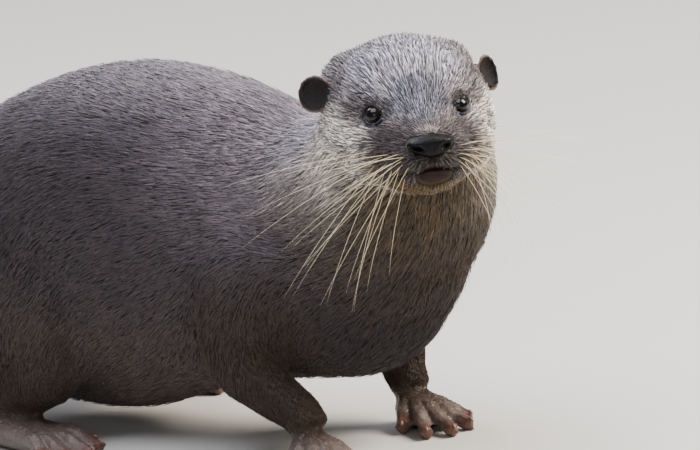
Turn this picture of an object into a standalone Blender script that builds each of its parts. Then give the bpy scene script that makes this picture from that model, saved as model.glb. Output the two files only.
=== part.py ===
"""Small-clawed river otter, a life-size still model standing on all fours with its head turned to its right.

The posture is drawn in millimetres about the point on the floor between the forefeet: +X runs from tail to chest,
+Y to the animal's left and +Z up. The flesh is lofted whole, run together, stood flat on the floor, and then parted
by thin cuts into the named pieces. Eyes, ears, nose pad and claws are pieces of their own, let into sockets.
"""

import math

import bmesh
import bpy
from mathutils import Matrix, Vector
from mathutils.bvhtree import BVHTree

MM = 0.001
GAP = 0.34  # clearance between neighbouring pieces
RING_POINTS = 28
LOFT_STEPS = 6  # rings between two stations
VOXEL = 1.7
FLESH_TRIANGLES = 3200

# Head: its own frame has its origin midway between the ears, +X to the nose, +Z to the crown.
HEAD_PLACE = (55.5, -15.4, 180.5)
HEAD_YAW = math.radians(-43)
HEAD_PITCH = math.radians(4)
HEAD = (
    Matrix.Translation(Vector(HEAD_PLACE))
    @ Matrix.Rotation(HEAD_YAW, 4, "Z")
    @ Matrix.Rotation(-HEAD_PITCH, 4, "Y")
)

EYE_RADIUS = 5.3
EYE_PLACE = (39.2, 19.2, -8.8)
EYE_LOOK = (0.74, 0.60, 0.24)
EAR_PLACE = (0.0, 42.0, 0.0)
EAR_FACE = (0.74, 0.64, 0.16)
EAR_SIZE = (9.2, 9.6)  # half-width and half-height of the flap
NOSE_PLACE = (76.3, 0.0, -20.2)
NOSE_SIZE = (5.6, 11.2, 6.0)
MOUTH_LEVEL = -33.0
JAW_BACK = 25.0  # how far forward of the ears the jaw's own piece starts
FOOT_HEIGHT = 20.0  # wrists and ankles part from the legs here

# Stations run (x, y, z, half-width, rise above the centre, drop below it).
TRUNK = (
    (-292, 0, 84, 19, 17, 17),
    (-276, 0, 86, 30, 27, 29),
    (-250, 0, 89, 45, 44, 48),
    (-212, 0, 93, 54, 62, 73),
    (-170, 0, 98, 58, 74, 87),
    (-128, 0, 101, 59, 79, 91),
    (-85, -1, 100, 56, 78, 78),
    (-45, -2, 97, 51, 71, 68),
    (-12, -3, 92, 47, 61, 60),
    (14, -3, 87, 42, 52, 53),
    (34, -3, 84, 34, 42, 40),
    (48, -3, 82, 19, 25, 24),
)
NECK = (
    (-34, 0, 96, 46, 52, 46),
    (8, -1, 104, 48, 60, 50),
    (36, -4, 124, 47, 54, 45),
    (49, -10, 150, 42, 47, 34),
    (53, -14, 171, 40, 40, 32),
)
CRANIUM = (
    (-40, 0, -16, 27, 23, 23),
    (-28, 0, -15, 35, 32, 28),
    (-12, 0, -15, 40, 37.5, 31),
    (6, 0, -17, 40.5, 39.5, 31),
    (24, 0, -20, 38.5, 39, 28),
    (36, 0, -25, 32.5, 36.5, 23),
    (46, 0, -27.5, 26, 29.5, 20.5),
    (56, 0, -28.5, 22.5, 22, 18.5),
    (66, 0, -28.5, 20.5, 15.5, 16.5),
    (73, 0, -28.5, 16.5, 12, 13.5),
    (77.5, 0, -28, 9, 7, 8),
)
TAIL = (
    (-262, 0, 90, 29, 30, 30),
    (-296, 0, 80, 23, 21, 21),
    (-340, 2, 57, 19, 17, 16),
    (-384, 7, 33, 16, 13.5, 13),
    (-428, 15, 16, 13.5, 11, 11),
    (-470, 24, 9.2, 11, 9, 9.8),
    (-512, 34, 6.6, 8.2, 6.4, 7.4),
    (-546, 43, 4.4, 4.8, 4.2, 5.2),
    (-556, 46, 2.9, 2.4, 2.2, 3.2),
)

# One forelimb and one hind limb, drawn for the left side; the right takes the same with its own places.
FORELIMB_WIDTHS = (
    (22, 30, 30), (20, 25, 25), (17, 17.5, 17.5), (13, 13, 13.5), (10.4, 10.2, 10.8), (9.8, 9, 9.6)
)
FORELIMBS = {
    "left": ((-2, 34, 104), (-9, 37, 78), (-13, 40, 52), (-8, 37, 37), (-3, 33, 25), (2.5, 31, 17)),
    "right": ((-22, -34, 104), (-34, -42, 78), (-36, -49, 51), (-20, -49, 36), (-3, -48, 25), (4, -49, 17)),
}
FOREFOOT = {"left": (-2, 33, math.radians(-26)), "right": (-3, -48, math.radians(-24))}
HINDLIMB_WIDTHS = ((24, 40, 36), (26, 40, 38), (23, 29, 28), (18, 21, 20), (12.5, 14, 14), (10, 9.5, 11))
HINDLIMBS = {
    "left": (
        (-232, 28, 104), (-208, 38, 82), (-180, 46, 58), (-177, 50, 40), (-197, 53, 26), (-211, 54, 16)
    ),
    "right": (
        (-216, -28, 104), (-190, -38, 82), (-162, -46, 58), (-158, -50, 40), (-178, -53, 26), (-193, -54, 16)
    ),
}
HINDFOOT = {"left": (-213, 54, math.radians(9)), "right": (-195, -54, math.radians(-11))}

# Digits run from the inner side of the foot to the outer: base x, base y, splay in degrees, length.
FORE_DIGITS = (
    (10, -8.8, -30, 13),
    (17.5, -5.4, -15, 24),
    (19, 0, 0, 27),
    (17.5, 5.5, 15, 24),
    (12.5, 9.4, 31, 17),
)
HIND_DIGITS = (
    (45, -10.2, -22, 17),
    (50, -5.9, -11, 23),
    (52, 0, 0, 26),
    (50, 6.0, 11, 23),
    (45, 10.4, 23, 18),
)
DIGIT_RADIUS = 3.7
CLAW_LENGTH = 3.0
CLAW_RADII = (1.1, 0.55)

COLOURS = {
    "coat": (0.105, 0.078, 0.062, 1.0),
    "pale_coat": (0.34, 0.28, 0.21, 1.0),
    "dark_coat": (0.06, 0.042, 0.034, 1.0),
    "bare_skin": (0.075, 0.052, 0.044, 1.0),
    "nose_leather": (0.012, 0.012, 0.014, 1.0),
    "eye": (0.010, 0.007, 0.005, 1.0),
    "claw": (0.30, 0.22, 0.16, 1.0),
}
ROUGHNESS = {"nose_leather": 0.35, "eye": 0.05, "claw": 0.4, "bare_skin": 0.5}


def clear_scene():
    for obj in list(bpy.data.objects):
        bpy.data.objects.remove(obj)


def make_materials():
    made = {}
    for name, colour in COLOURS.items():
        material = bpy.data.materials.new(name)
        material.use_nodes = True
        shader = material.node_tree.nodes["Principled BSDF"]
        shader.inputs["Base Color"].default_value = colour
        shader.inputs["Roughness"].default_value = ROUGHNESS.get(name, 0.8)
        made[name] = material
    return made


def new_object(name, bm):
    mesh = bpy.data.meshes.new(name)
    bm.to_mesh(mesh)
    bm.free()
    obj = bpy.data.objects.new(name, mesh)
    bpy.context.scene.collection.objects.link(obj)
    return obj


def settle(obj):
    """Replaces the object's mesh by what its modifiers make of it."""
    graph = bpy.context.evaluated_depsgraph_get()
    mesh = bpy.data.meshes.new_from_object(obj.evaluated_get(graph))
    obj.modifiers.clear()
    obj.data = mesh


def curve_through(points, steps):
    """Points on a Catmull-Rom curve through rows of numbers of any width, ends included."""
    rows = [points[0], *points, points[-1]]
    found = []
    for before, start, end, after in zip(rows, rows[1:], rows[2:], rows[3:]):
        for step in range(steps):
            t = step / steps
            found.append([
                0.5 * (2 * b + (c - a) * t + (2 * a - 5 * b + 4 * c - d) * t * t + (3 * b - a - 3 * c + d) * t**3)
                for a, b, c, d in zip(before, start, end, after)
            ])
    return [*found, list(points[-1])]


def loft(bm, stations, place=None, upward=(0, 0, 1), facing=None, bluntness=2.2, steps=LOFT_STEPS):
    """A closed tube through stations (x, y, z, half-width, rise, drop).

    upward is the direction of the rise. Rings stand square to the path, or all square to facing where it is given.
    """
    place = place or Matrix.Identity(4)
    rows = curve_through(stations, steps)
    up_hint = Vector(upward)
    previous = None
    for index, (x, y, z, half_width, rise, drop) in enumerate(rows):
        ahead = Vector(rows[min(index + 1, len(rows) - 1)][:3])
        behind = Vector(rows[max(index - 1, 0)][:3])
        along = Vector(facing) if facing else (ahead - behind).normalized()
        across = up_hint.cross(along).normalized()
        up = along.cross(across)
        ends = index in (0, len(rows) - 1)
        verts = bmesh.ops.create_circle(bm, cap_ends=ends, segments=RING_POINTS, radius=1.0)["verts"]
        for turn, vert in enumerate(verts):
            angle = math.tau * turn / RING_POINTS
            c, s = math.cos(angle), math.sin(angle)
            wide = math.copysign(abs(c) ** (2 / bluntness), c) * half_width
            high = math.copysign(abs(s) ** (2 / bluntness), s) * (rise if s > 0 else drop)
            vert.co = place @ ((Vector((x, y, z)) + across * wide + up * high)) * MM
        edges = list({e for v in verts for e in v.link_edges})
        if previous:
            bmesh.ops.bridge_loops(bm, edges=previous + edges)
        previous = edges


def ellipsoid(bm, centre, radii, place=None, aim=None, segments=24):
    """A ball stretched to three radii; aim is the direction that its own +X takes."""
    place = place or Matrix.Identity(4)
    turn = Vector(aim).to_track_quat("X", "Z").to_matrix().to_4x4() if aim else Matrix.Identity(4)
    matrix = (
        Matrix.Scale(MM, 4) @ place @ Matrix.Translation(Vector(centre)) @ turn @ Matrix.Diagonal((*radii, 1))
    )
    return bmesh.ops.create_uvsphere(
        bm, u_segments=segments, v_segments=segments // 2, radius=1.0, matrix=matrix
    )["verts"]


def mirrored(point, side):
    return (point[0], point[1] if side == "left" else -point[1], point[2])


def head_flesh(bm):
    """Cranium, muzzle, jaw, cheeks and brows in the head's frame."""
    loft(bm, CRANIUM, place=HEAD, facing=(1, 0, 0), bluntness=2.0)
    chin = (
        (22, 0, -34, 25, 10, 14), (42, 0, -36, 19, 8, 11.5), (58, 0, -37, 15.5, 6, 9), (68, 0, -36.5, 11, 4, 6.5)
    )
    loft(bm, chin, place=HEAD, facing=(1, 0, 0))
    for side in ("left", "right"):
        ellipsoid(bm, mirrored((-16, 20.5, 2.5), side), (22, 17, 14.8), HEAD)
        ellipsoid(bm, mirrored((66, 9.5, -27.5), side), (11.5, 11, 9.5), HEAD)
        ellipsoid(bm, mirrored((34, 21.5, -26), side), (20, 14, 17), HEAD)
        brow_aim = mirrored((0.8, 0.3, -0.45), side)
        ellipsoid(bm, mirrored((33, 15.5, 0.5), side), (11, 11, 7), HEAD, aim=brow_aim)
    ellipsoid(bm, (64, 0, -18), (13, 8.5, 6.5), HEAD)


def digit_path(base_x, base_y, splay, length, out):
    """Stations of one digit in the foot's frame, raised at the knuckle and let down at the tip."""
    turn = math.radians(splay) * out
    along = Vector((math.cos(turn), math.sin(turn)))
    r = DIGIT_RADIUS
    share_height_radius = (
        (-0.35, 8.6, 1.0), (0.0, 9.2, 1.08), (0.35, 8.0, 1.0), (0.7, 4.6, 0.92), (0.95, 3.2, 1.14), (1.1, 2.9, 0.72)
    )
    return [
        (base_x + along.x * length * share, base_y * out + along.y * length * share, height, r * k, r * k, r * k)
        for share, height, k in share_height_radius
    ]


def foot_place(x, y, yaw):
    return Matrix.Translation(Vector((x, y, 0))) @ Matrix.Rotation(yaw, 4, "Z")


def feet():
    """(foot name, its place, its digits, which way its outer side lies) for the four feet."""
    for side, out in (("left", 1), ("right", -1)):
        yield f"fore_{side}", foot_place(*FOREFOOT[side]), FORE_DIGITS, out
        yield f"hind_{side}", foot_place(*HINDFOOT[side]), HIND_DIGITS, out


def foot_flesh(bm, name, place, digits, out):
    if name.startswith("fore"):
        ellipsoid(bm, (11, 0, 7.5), (16, 12.5, 9.2), place)
        ellipsoid(bm, (21, 0, 5.6), (9.5, 12.5, 2.4), place)
    else:
        ellipsoid(bm, (1, 0, 8.6), (10.5, 8.8, 9.8), place)
        sole = ((0, 0, 9, 8, 8.5, 9.5), (10, 0, 9.5, 9.5, 9, 10.5), (30, 0, 8.5, 11.5, 7, 9.5),
                (46, 0, 7.5, 13.5, 5.5, 8.5), (54, 0, 6.5, 10.5, 4, 6.5))
        loft(bm, sole, place=place)
        ellipsoid(bm, (55, 0, 5.2), (10, 13.5, 2.4), place)
    for row in digits:
        loft(bm, digit_path(*row, out), place=place, steps=4)


def body_flesh(bm):
    """Trunk, neck, tail and limbs as overlapping closed tubes and balls."""
    loft(bm, TRUNK, facing=(1, 0, 0))
    loft(bm, NECK)
    loft(bm, TAIL)
    for side in ("left", "right"):
        for places, widths in ((FORELIMBS[side], FORELIMB_WIDTHS), (HINDLIMBS[side], HINDLIMB_WIDTHS)):
            loft(bm, [place + width for place, width in zip(places, widths)], upward=(1, 0, 0))
    ellipsoid(bm, (36, -3, 84), (25, 34, 26))
    ellipsoid(bm, (11, 30, 86), (28, 20, 42))
    ellipsoid(bm, (-4, -30, 90), (30, 20, 44))


def run_together(obj):
    """One skin over all the overlapping shapes, its hollows eased, most where limbs leave the trunk."""
    remesh = obj.modifiers.new("skin", "REMESH")
    remesh.mode = "VOXEL"
    remesh.voxel_size = VOXEL * MM
    settle(obj)
    gentle = obj.modifiers.new("ease", "SMOOTH")
    gentle.factor = 0.5
    gentle.iterations = 4
    trunk_only = obj.vertex_groups.new(name="trunk_only")
    head_centre = HEAD @ Vector((45, 0, -20))
    for vert in obj.data.vertices:
        place = vert.co / MM
        clear_of_head = (place - head_centre).length / 45 - 1
        above_feet = (place.z - 26) / 20
        trunk_only.add([vert.index], max(0.0, min(1.0, clear_of_head, above_feet)), "REPLACE")
    strong = obj.modifiers.new("ease_trunk", "SMOOTH")
    strong.factor = 0.5
    strong.iterations = 46
    strong.vertex_group = trunk_only.name
    settle(obj)
    obj.vertex_groups.clear()
    thin = obj.modifiers.new("facets", "DECIMATE")
    thin.ratio = FLESH_TRIANGLES / (2 * len(obj.data.polygons))
    settle(obj)


def stand_on_floor(obj):
    """Cuts the flesh flat at the floor, which leaves a small flat under each foot and the tail."""
    bm = bmesh.new()
    bm.from_mesh(obj.data)
    cut = bmesh.ops.bisect_plane(
        bm,
        geom=bm.verts[:] + bm.edges[:] + bm.faces[:],
        plane_co=(0, 0, 0),
        plane_no=(0, 0, 1),
        clear_inner=True,
    )
    rims = [e for e in cut["geom_cut"] if isinstance(e, bmesh.types.BMEdge)]
    bmesh.ops.holes_fill(bm, edges=rims)
    bmesh.ops.triangulate(bm, faces=bm.faces[:])
    bmesh.ops.recalc_face_normals(bm, faces=bm.faces[:])
    bm.to_mesh(obj.data)
    bm.free()


def cutter(name, bm):
    obj = new_object(name, bm)
    obj.hide_render = True
    obj.display_type = "WIRE"
    return obj


def disc_cut(name, centre, normal, radius, place=None):
    """A thin round saw cut, square to normal."""
    place = place or Matrix.Identity(4)
    bm = bmesh.new()
    turn = Vector(normal).to_track_quat("Z", "Y").to_matrix().to_4x4()
    matrix = Matrix.Scale(MM, 4) @ place @ Matrix.Translation(Vector(centre)) @ turn
    bmesh.ops.create_cone(
        bm, cap_ends=True, segments=32, radius1=radius, radius2=radius, depth=GAP, matrix=matrix
    )
    return cutter(name, bm)


def slab_cut(name, low, high, place=None):
    """A thin box between two corners."""
    place = place or Matrix.Identity(4)
    low, high = Vector(low), Vector(high)
    bm = bmesh.new()
    matrix = (
        Matrix.Scale(MM, 4) @ place @ Matrix.Translation((low + high) / 2) @ Matrix.Diagonal((*(high - low), 1))
    )
    bmesh.ops.create_cube(bm, size=1.0, matrix=matrix)
    return cutter(name, bm)


def shell_cut(name, centre, radii):
    """A thin egg-shaped shell, flat where it crosses the wrist or ankle: what it holds comes away as a leg."""
    bm = bmesh.new()
    for skin, floor in ((0, FOOT_HEIGHT), (GAP, FOOT_HEIGHT + GAP)):
        verts = ellipsoid(bm, centre, [r - skin for r in radii], segments=14)
        for vert in verts:
            vert.co.z = max(vert.co.z, floor * MM)
    bmesh.ops.reverse_faces(bm, faces=list({f for v in verts for f in v.link_faces}))
    return cutter(name, bm)


def grown(obj, by):
    """A hidden copy of a piece, bigger all round, that cuts its socket."""
    copy = bpy.data.objects.new(f"socket_{obj.name}", obj.data.copy())
    bpy.context.scene.collection.objects.link(copy)
    for vert in copy.data.vertices:
        vert.co += vert.normal * by * MM
    copy.hide_render = True
    copy.display_type = "WIRE"
    return copy


def cut_from(obj, cutters):
    for tool in cutters:
        cut = obj.modifiers.new(tool.name, "BOOLEAN")
        cut.operation = "DIFFERENCE"
        cut.solver = "EXACT"
        cut.object = tool
    settle(obj)
    for tool in cutters:
        bpy.data.objects.remove(tool)


def make_eye(side, material):
    bm = bmesh.new()
    look = Vector(mirrored(EYE_LOOK, side)).normalized()
    ellipsoid(bm, mirrored(EYE_PLACE, side), (EYE_RADIUS,) * 3, HEAD, aim=look, segments=12)
    eye = new_object(f"eye_{side}", bm)
    eye.data.materials.append(material)
    return eye


def make_ear(side, material):
    """A rounded flap, hollowed on its front face, with a short root that lies in the head."""
    half_width, half_height = EAR_SIZE
    face = Vector(mirrored(EAR_FACE, side)).normalized()
    centre = Vector(mirrored(EAR_PLACE, side))
    bm = bmesh.new()
    ellipsoid(bm, centre, (3.6, half_width, half_height), HEAD, aim=face, segments=14)
    ear = new_object(f"ear_{side}", bm)
    bm = bmesh.new()
    ellipsoid(bm, centre + face * 3.7, (4.2, half_width * 0.72, half_height * 0.74), HEAD, aim=face, segments=12)
    cut_from(ear, [cutter("ear_cup", bm)])
    ear.data.materials.append(material)
    return ear


def make_nose(material):
    """The bare pad: broad above, narrow below, with a nostril let into each side."""
    bm = bmesh.new()
    verts = ellipsoid(bm, (0, 0, 0), (1, 1, 1), segments=14)
    depth, half_width, half_height = NOSE_SIZE
    for vert in verts:
        x, y, z = vert.co / MM
        narrow = 1 + 0.26 * z
        flat_top = 0.86 if z > 0 else 1.0
        place = Vector((x * depth, y * half_width * narrow, z * half_height * flat_top))
        vert.co = HEAD @ (place + Vector(NOSE_PLACE)) * MM
    nose = new_object("nose_pad", bm)
    nostrils = []
    for side in ("left", "right"):
        bm = bmesh.new()
        ellipsoid(bm, mirrored((79.8, 6.4, -21.4), side), (3.4, 2.3, 1.7), HEAD, segments=8)
        nostrils.append(cutter("nostril", bm))
    cut_from(nose, nostrils)
    nose.data.materials.append(material)
    return nose


def make_claws(material):
    """A short blunt peg on the top of each digit's tip."""
    claws = []
    for name, place, digits, out in feet():
        for number, (base_x, base_y, splay, length) in enumerate(digits, 1):
            turn = math.radians(splay) * out
            along = Vector((math.cos(turn), math.sin(turn), 0))
            tip = Vector((base_x, base_y * out, 0)) + along * length * 1.08 + Vector((0, 0, 5.9))
            aim = (along + Vector((0, 0, -0.55))).to_track_quat("Z", "X").to_matrix().to_4x4()
            bm = bmesh.new()
            bmesh.ops.create_cone(
                bm, cap_ends=True, segments=6, radius1=CLAW_RADII[0], radius2=CLAW_RADII[1], depth=CLAW_LENGTH,
                matrix=Matrix.Scale(MM, 4) @ place @ Matrix.Translation(tip) @ aim,
            )
            claw = new_object(f"claw_{name}_{number}", bm)
            claw.data.materials.append(material)
            claws.append(claw)
    return claws


def body_cuts():
    """The saw cuts that part the flesh into its named pieces."""
    cuts = [
        disc_cut("head_neck", (2, 0, -22), (0.74, 0, 0.67), 66, HEAD),
        disc_cut("neck_chest", (12, -3, 108), (0.72, -0.14, 0.68), 94),
        slab_cut("chest_belly", (-74, -90, 5), (-74 + GAP, 90, 200)),
        slab_cut("belly_rump", (-127, -90, 5), (-127 + GAP, 90, 200)),
        disc_cut("rump_tail", (-281, 0, 85), (-0.93, 0, -0.36), 46),
        disc_cut("tail_upper", (-366, 5, 43), (-0.86, 0.1, -0.5), 28),
        disc_cut("tail_lower", (-462, 22, 10), (-0.96, 0.22, -0.12), 24),
        slab_cut("mouth", (JAW_BACK - 2 * GAP, -60, MOUTH_LEVEL), (95, 60, MOUTH_LEVEL + GAP), HEAD),
        slab_cut("jaw_hinge", (JAW_BACK - GAP, -60, -54), (JAW_BACK, 60, MOUTH_LEVEL + GAP / 2), HEAD),
        shell_cut("leg_fore_left", (-4, 56, 46), (48, 42, 60)),
        shell_cut("leg_fore_right", (-22, -70, 44), (48, 46, 60)),
        shell_cut("leg_hind_left", (-198, 66, 50), (53, 50, 72)),
        shell_cut("leg_hind_right", (-180, -66, 50), (50, 50, 72)),
    ]
    return cuts


# A point inside each piece that the cuts leave, and the material it takes.
PIECES = {
    "head": (HEAD @ Vector((20, 0, -5)), "coat"),
    "jaw": (HEAD @ Vector((40, 0, -39)), "pale_coat"),
    "neck": (Vector((36, -8, 136)), "coat"),
    "chest": (Vector((-40, 0, 95)), "coat"),
    "belly": (Vector((-115, 0, 95)), "coat"),
    "rump": (Vector((-200, 0, 110)), "coat"),
    "tail_upper": (Vector((-320, 1, 68)), "coat"),
    "tail_middle": (Vector((-420, 13, 18)), "coat"),
    "tail_tip": (Vector((-500, 30, 6)), "dark_coat"),
    "foreleg_left": (Vector((-14, 42, 58)), "dark_coat"),
    "foreleg_right": (Vector((-34, -49, 58)), "dark_coat"),
    "hindleg_left": (Vector((-212, 48, 66)), "coat"),
    "hindleg_right": (Vector((-202, -48, 66)), "coat"),
    "forefoot_left": (foot_place(*FOREFOOT["left"]) @ Vector((12, 0, 7)), "bare_skin"),
    "forefoot_right": (foot_place(*FOREFOOT["right"]) @ Vector((12, 0, 7)), "bare_skin"),
    "hindfoot_left": (foot_place(*HINDFOOT["left"]) @ Vector((30, 0, 8)), "bare_skin"),
    "hindfoot_right": (foot_place(*HINDFOOT["right"]) @ Vector((30, 0, 8)), "bare_skin"),
}


def loose_pieces(obj):
    bpy.ops.object.select_all(action="DESELECT")
    obj.select_set(True)
    bpy.context.view_layer.objects.active = obj
    bpy.ops.object.mode_set(mode="EDIT")
    bpy.ops.mesh.select_all(action="SELECT")
    bpy.ops.mesh.separate(type="LOOSE")
    bpy.ops.object.mode_set(mode="OBJECT")
    return list(bpy.context.selected_objects)


def holds(obj, point):
    """True if the point is inside the piece: a line up from it leaves the surface an odd number of times."""
    tree = BVHTree.FromObject(obj, bpy.context.evaluated_depsgraph_get())
    crossings = 0
    start = point * MM
    while True:
        hit, _, _, _ = tree.ray_cast(start, Vector((0.013, 0.017, 1.0)))
        if hit is None:
            return crossings % 2 == 1
        crossings += 1
        start = hit + Vector((0, 0, 1e-6))


def name_pieces(found, materials):
    """Gives each loose piece its name and material, and drops crumbs that hold no named point."""
    for name, (point, finish) in PIECES.items():
        owner = next((obj for obj in found if holds(obj, point)), None)
        if owner is None:
            raise RuntimeError(f"no piece holds the point of {name}")
        found.remove(owner)
        owner.name = owner.data.name = name
        owner.data.materials.clear()
        owner.data.materials.append(materials[finish])
        owner.data.shade_smooth()
    for crumb in found:
        bpy.data.objects.remove(crumb)


def centre_over_floor():
    """Sets the origin below the middle of the model's box, on the floor."""
    corners = [obj.matrix_world @ Vector(c) for obj in bpy.data.objects for c in obj.bound_box]
    low = Vector([min(c[axis] for c in corners) for axis in range(3)])
    high = Vector([max(c[axis] for c in corners) for axis in range(3)])
    shift = Matrix.Translation((-(low.x + high.x) / 2, -(low.y + high.y) / 2, 0))
    for obj in bpy.data.objects:
        obj.data.transform(shift)


def main():
    clear_scene()
    materials = make_materials()
    fitted = [make_nose(materials["nose_leather"])]
    for side in ("left", "right"):
        fitted.append(make_eye(side, materials["eye"]))
        fitted.append(make_ear(side, materials["dark_coat"]))
    claws = make_claws(materials["claw"])
    bm = bmesh.new()
    body_flesh(bm)
    head_flesh(bm)
    for foot in feet():
        foot_flesh(bm, *foot)
    flesh = new_object("flesh", bm)
    run_together(flesh)
    stand_on_floor(flesh)
    dishes = []
    for side in ("left", "right"):
        bm = bmesh.new()
        look = Vector(mirrored(EYE_LOOK, side)).normalized()
        centre = Vector(mirrored(EYE_PLACE, side)) + look * 3.6
        ellipsoid(bm, centre, (4.4, 5.6, 4.9), HEAD, aim=look, segments=12)
        dishes.append(cutter(f"lids_{side}", bm))
    cut_from(flesh, dishes)
    cut_from(flesh, [grown(piece, GAP) for piece in fitted + claws])
    cut_from(flesh, body_cuts())
    name_pieces(loose_pieces(flesh), materials)
    bpy.context.view_layer.update()
    centre_over_floor()


main()
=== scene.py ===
"""Looks of a life-size small-clawed otter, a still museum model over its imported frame.

One skin stands for all the flesh, sculpted with lids, lips, pads and creases, and a coat of solid mesh locks
follows its lie from nose to tail tip. Eyes, nose leather, claws and whiskers are pieces of their own.
Sizes are in millimetres until a mesh is written, and then in metres.
"""

import sys
import logging
import math
from dataclasses import dataclass, field
from enum import Enum
from functools import partial
from typing import Any, Callable, Iterable

import bmesh
import bpy
import numpy as np
from mathutils import Matrix, Vector
from mathutils.bvhtree import BVHTree


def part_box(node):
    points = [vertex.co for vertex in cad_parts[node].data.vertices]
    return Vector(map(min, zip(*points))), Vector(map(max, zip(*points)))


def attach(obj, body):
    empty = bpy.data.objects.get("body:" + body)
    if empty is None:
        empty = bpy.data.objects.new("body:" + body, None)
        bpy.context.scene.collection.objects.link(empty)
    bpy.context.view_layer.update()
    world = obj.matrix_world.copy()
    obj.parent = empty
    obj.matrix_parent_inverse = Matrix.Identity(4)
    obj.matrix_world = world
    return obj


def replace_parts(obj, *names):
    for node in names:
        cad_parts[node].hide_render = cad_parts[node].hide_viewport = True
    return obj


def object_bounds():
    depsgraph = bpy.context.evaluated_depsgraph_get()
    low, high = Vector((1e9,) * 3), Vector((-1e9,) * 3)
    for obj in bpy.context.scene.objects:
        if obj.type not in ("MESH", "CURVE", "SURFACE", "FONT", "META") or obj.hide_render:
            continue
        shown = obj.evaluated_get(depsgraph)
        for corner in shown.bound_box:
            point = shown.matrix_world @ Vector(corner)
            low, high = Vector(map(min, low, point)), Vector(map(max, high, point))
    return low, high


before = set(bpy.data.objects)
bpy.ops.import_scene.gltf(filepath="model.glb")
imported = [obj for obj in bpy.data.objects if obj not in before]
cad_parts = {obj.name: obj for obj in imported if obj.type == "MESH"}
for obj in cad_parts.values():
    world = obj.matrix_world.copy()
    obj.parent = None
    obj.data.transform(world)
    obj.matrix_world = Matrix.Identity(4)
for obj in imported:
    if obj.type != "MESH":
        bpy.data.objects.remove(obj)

Array = np.ndarray
Pair = tuple[float, float]
Triple = tuple[float, float, float]
Chance = np.random.Generator
Material = bpy.types.Material
Node = bpy.types.Node
Object = bpy.types.Object
Links = dict[str | int, bpy.types.NodeSocket | Node]

logging.basicConfig(level=logging.INFO, format="%(message)s", stream=sys.stdout)
log = logging.getLogger("otter")

MM = 0.001
BODY = "root"
CAD_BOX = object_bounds()

# Whiskers may pass the solids' box by this share of each side, and by this much more.
PROUD_SHARE = 0.03
PROUD_MORE = 9.0
STAND_PROUD = PROUD_SHARE * (CAD_BOX[1] - CAD_BOX[0]) / MM + Vector((PROUD_MORE,) * 3)
LOWEST = CAD_BOX[0] / MM - STAND_PROUD
HIGHEST = CAD_BOX[1] / MM + STAND_PROUD

# What a measure of an opening says of points that are well clear of it.
WELL_CLEAR = 9.0


# ---------- small tools


def linear(hex_colour: str) -> Triple:
    """Turns an sRGB hex colour into linear red, green and blue."""
    parts = [int(hex_colour[place : place + 2], 16) / 255 for place in (1, 3, 5)]
    return tuple(part / 12.92 if part <= 0.04045 else ((part + 0.055) / 1.055) ** 2.4 for part in parts)


def fade(low: float, high: float, values: Array) -> Array:
    """Fades values smoothly from 0 at low to 1 at high, which may be below low."""
    share = np.clip((values - low) / (high - low), 0.0, 1.0)
    return share * share * (3 - 2 * share)


def unit(vectors: Array) -> Array:
    """Scales each row to length 1."""
    return vectors / np.maximum(np.linalg.norm(vectors, axis=-1, keepdims=True), 1e-12)


def starting(kinds: Array, starts: Iterable[str]) -> Array:
    """Tells which of the CAD nodes' names start with one of several words."""
    return np.any([np.char.startswith(kinds, start) for start in starts], axis=0)


def paint(colours: Array, colour: str, share: Array) -> None:
    """Lays a hex colour over rows of linear colours, in place, by each row's share from 0 to 1."""
    colours += (np.array(linear(colour)) - colours) * share[:, None]


def per_m(size: float) -> float:
    """Tells how many cells of a pattern lie in a metre, from the size of one in millimetres."""
    return 1 / (size * MM)


def feed(node: Node, links: Links) -> None:
    """Joins an output socket, or a node's first output, to each of a node's inputs that is named.

    Args:
        node: The node that is fed.
        links: What feeds it, by the name or number of each input.
    """
    for socket, source in links.items():
        output = source.outputs[0] if isinstance(source, Node) else source
        node.id_data.links.new(output, node.inputs[socket])


def add_node(
    tree: bpy.types.NodeTree,
    kind: str,
    inputs: dict[str | int, Any] | None = None,
    links: Links | None = None,
    stops: Iterable[tuple[float, str]] = (),
    **settings: Any,
) -> Node:
    """Adds one shader node with its settings, constant inputs and links.

    Args:
        tree: The material's node tree.
        kind: The node's type name, after ShaderNode.
        inputs: Values for input sockets, by name or number.
        links: What feeds its input sockets, by name or number.
        stops: Places and hex colours of a colour ramp.
        **settings: Attributes of the node.

    Returns:
        The new node.
    """
    node = tree.nodes.new("ShaderNode" + kind)
    for name, value in settings.items():
        setattr(node, name, value)
    for socket, value in (inputs or {}).items():
        node.inputs[socket].default_value = value
    feed(node, links or {})
    for index, (place, colour) in enumerate(stops):
        elements = node.color_ramp.elements
        element = elements[index] if index < 2 else elements.new(place)
        element.position = place
        element.color = (*linear(colour), 1.0)
    return node


def blank_material(name: str, constants: dict[str, Any]) -> tuple[Material, bpy.types.NodeTree, Node]:
    """Makes a material with only its shader and output.

    Args:
        name: The material's name.
        constants: What is the same all over the surface, by the shader's socket.

    Returns:
        The material, its node tree and its Principled shader.
    """
    material = bpy.data.materials.new(name)
    material.use_nodes = True
    shader = material.node_tree.nodes["Principled BSDF"]
    for socket, value in constants.items():
        shader.inputs[socket].default_value = value
    return material, material.node_tree, shader


def link_object(name: str, mesh: bpy.types.Mesh) -> Object:
    """Puts a mesh in the scene as an object at the origin.

    Args:
        name: The object's name.
        mesh: Its mesh.

    Returns:
        The object.
    """
    obj = bpy.data.objects.new(name, mesh)
    bpy.context.scene.collection.objects.link(obj)
    return obj


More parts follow.
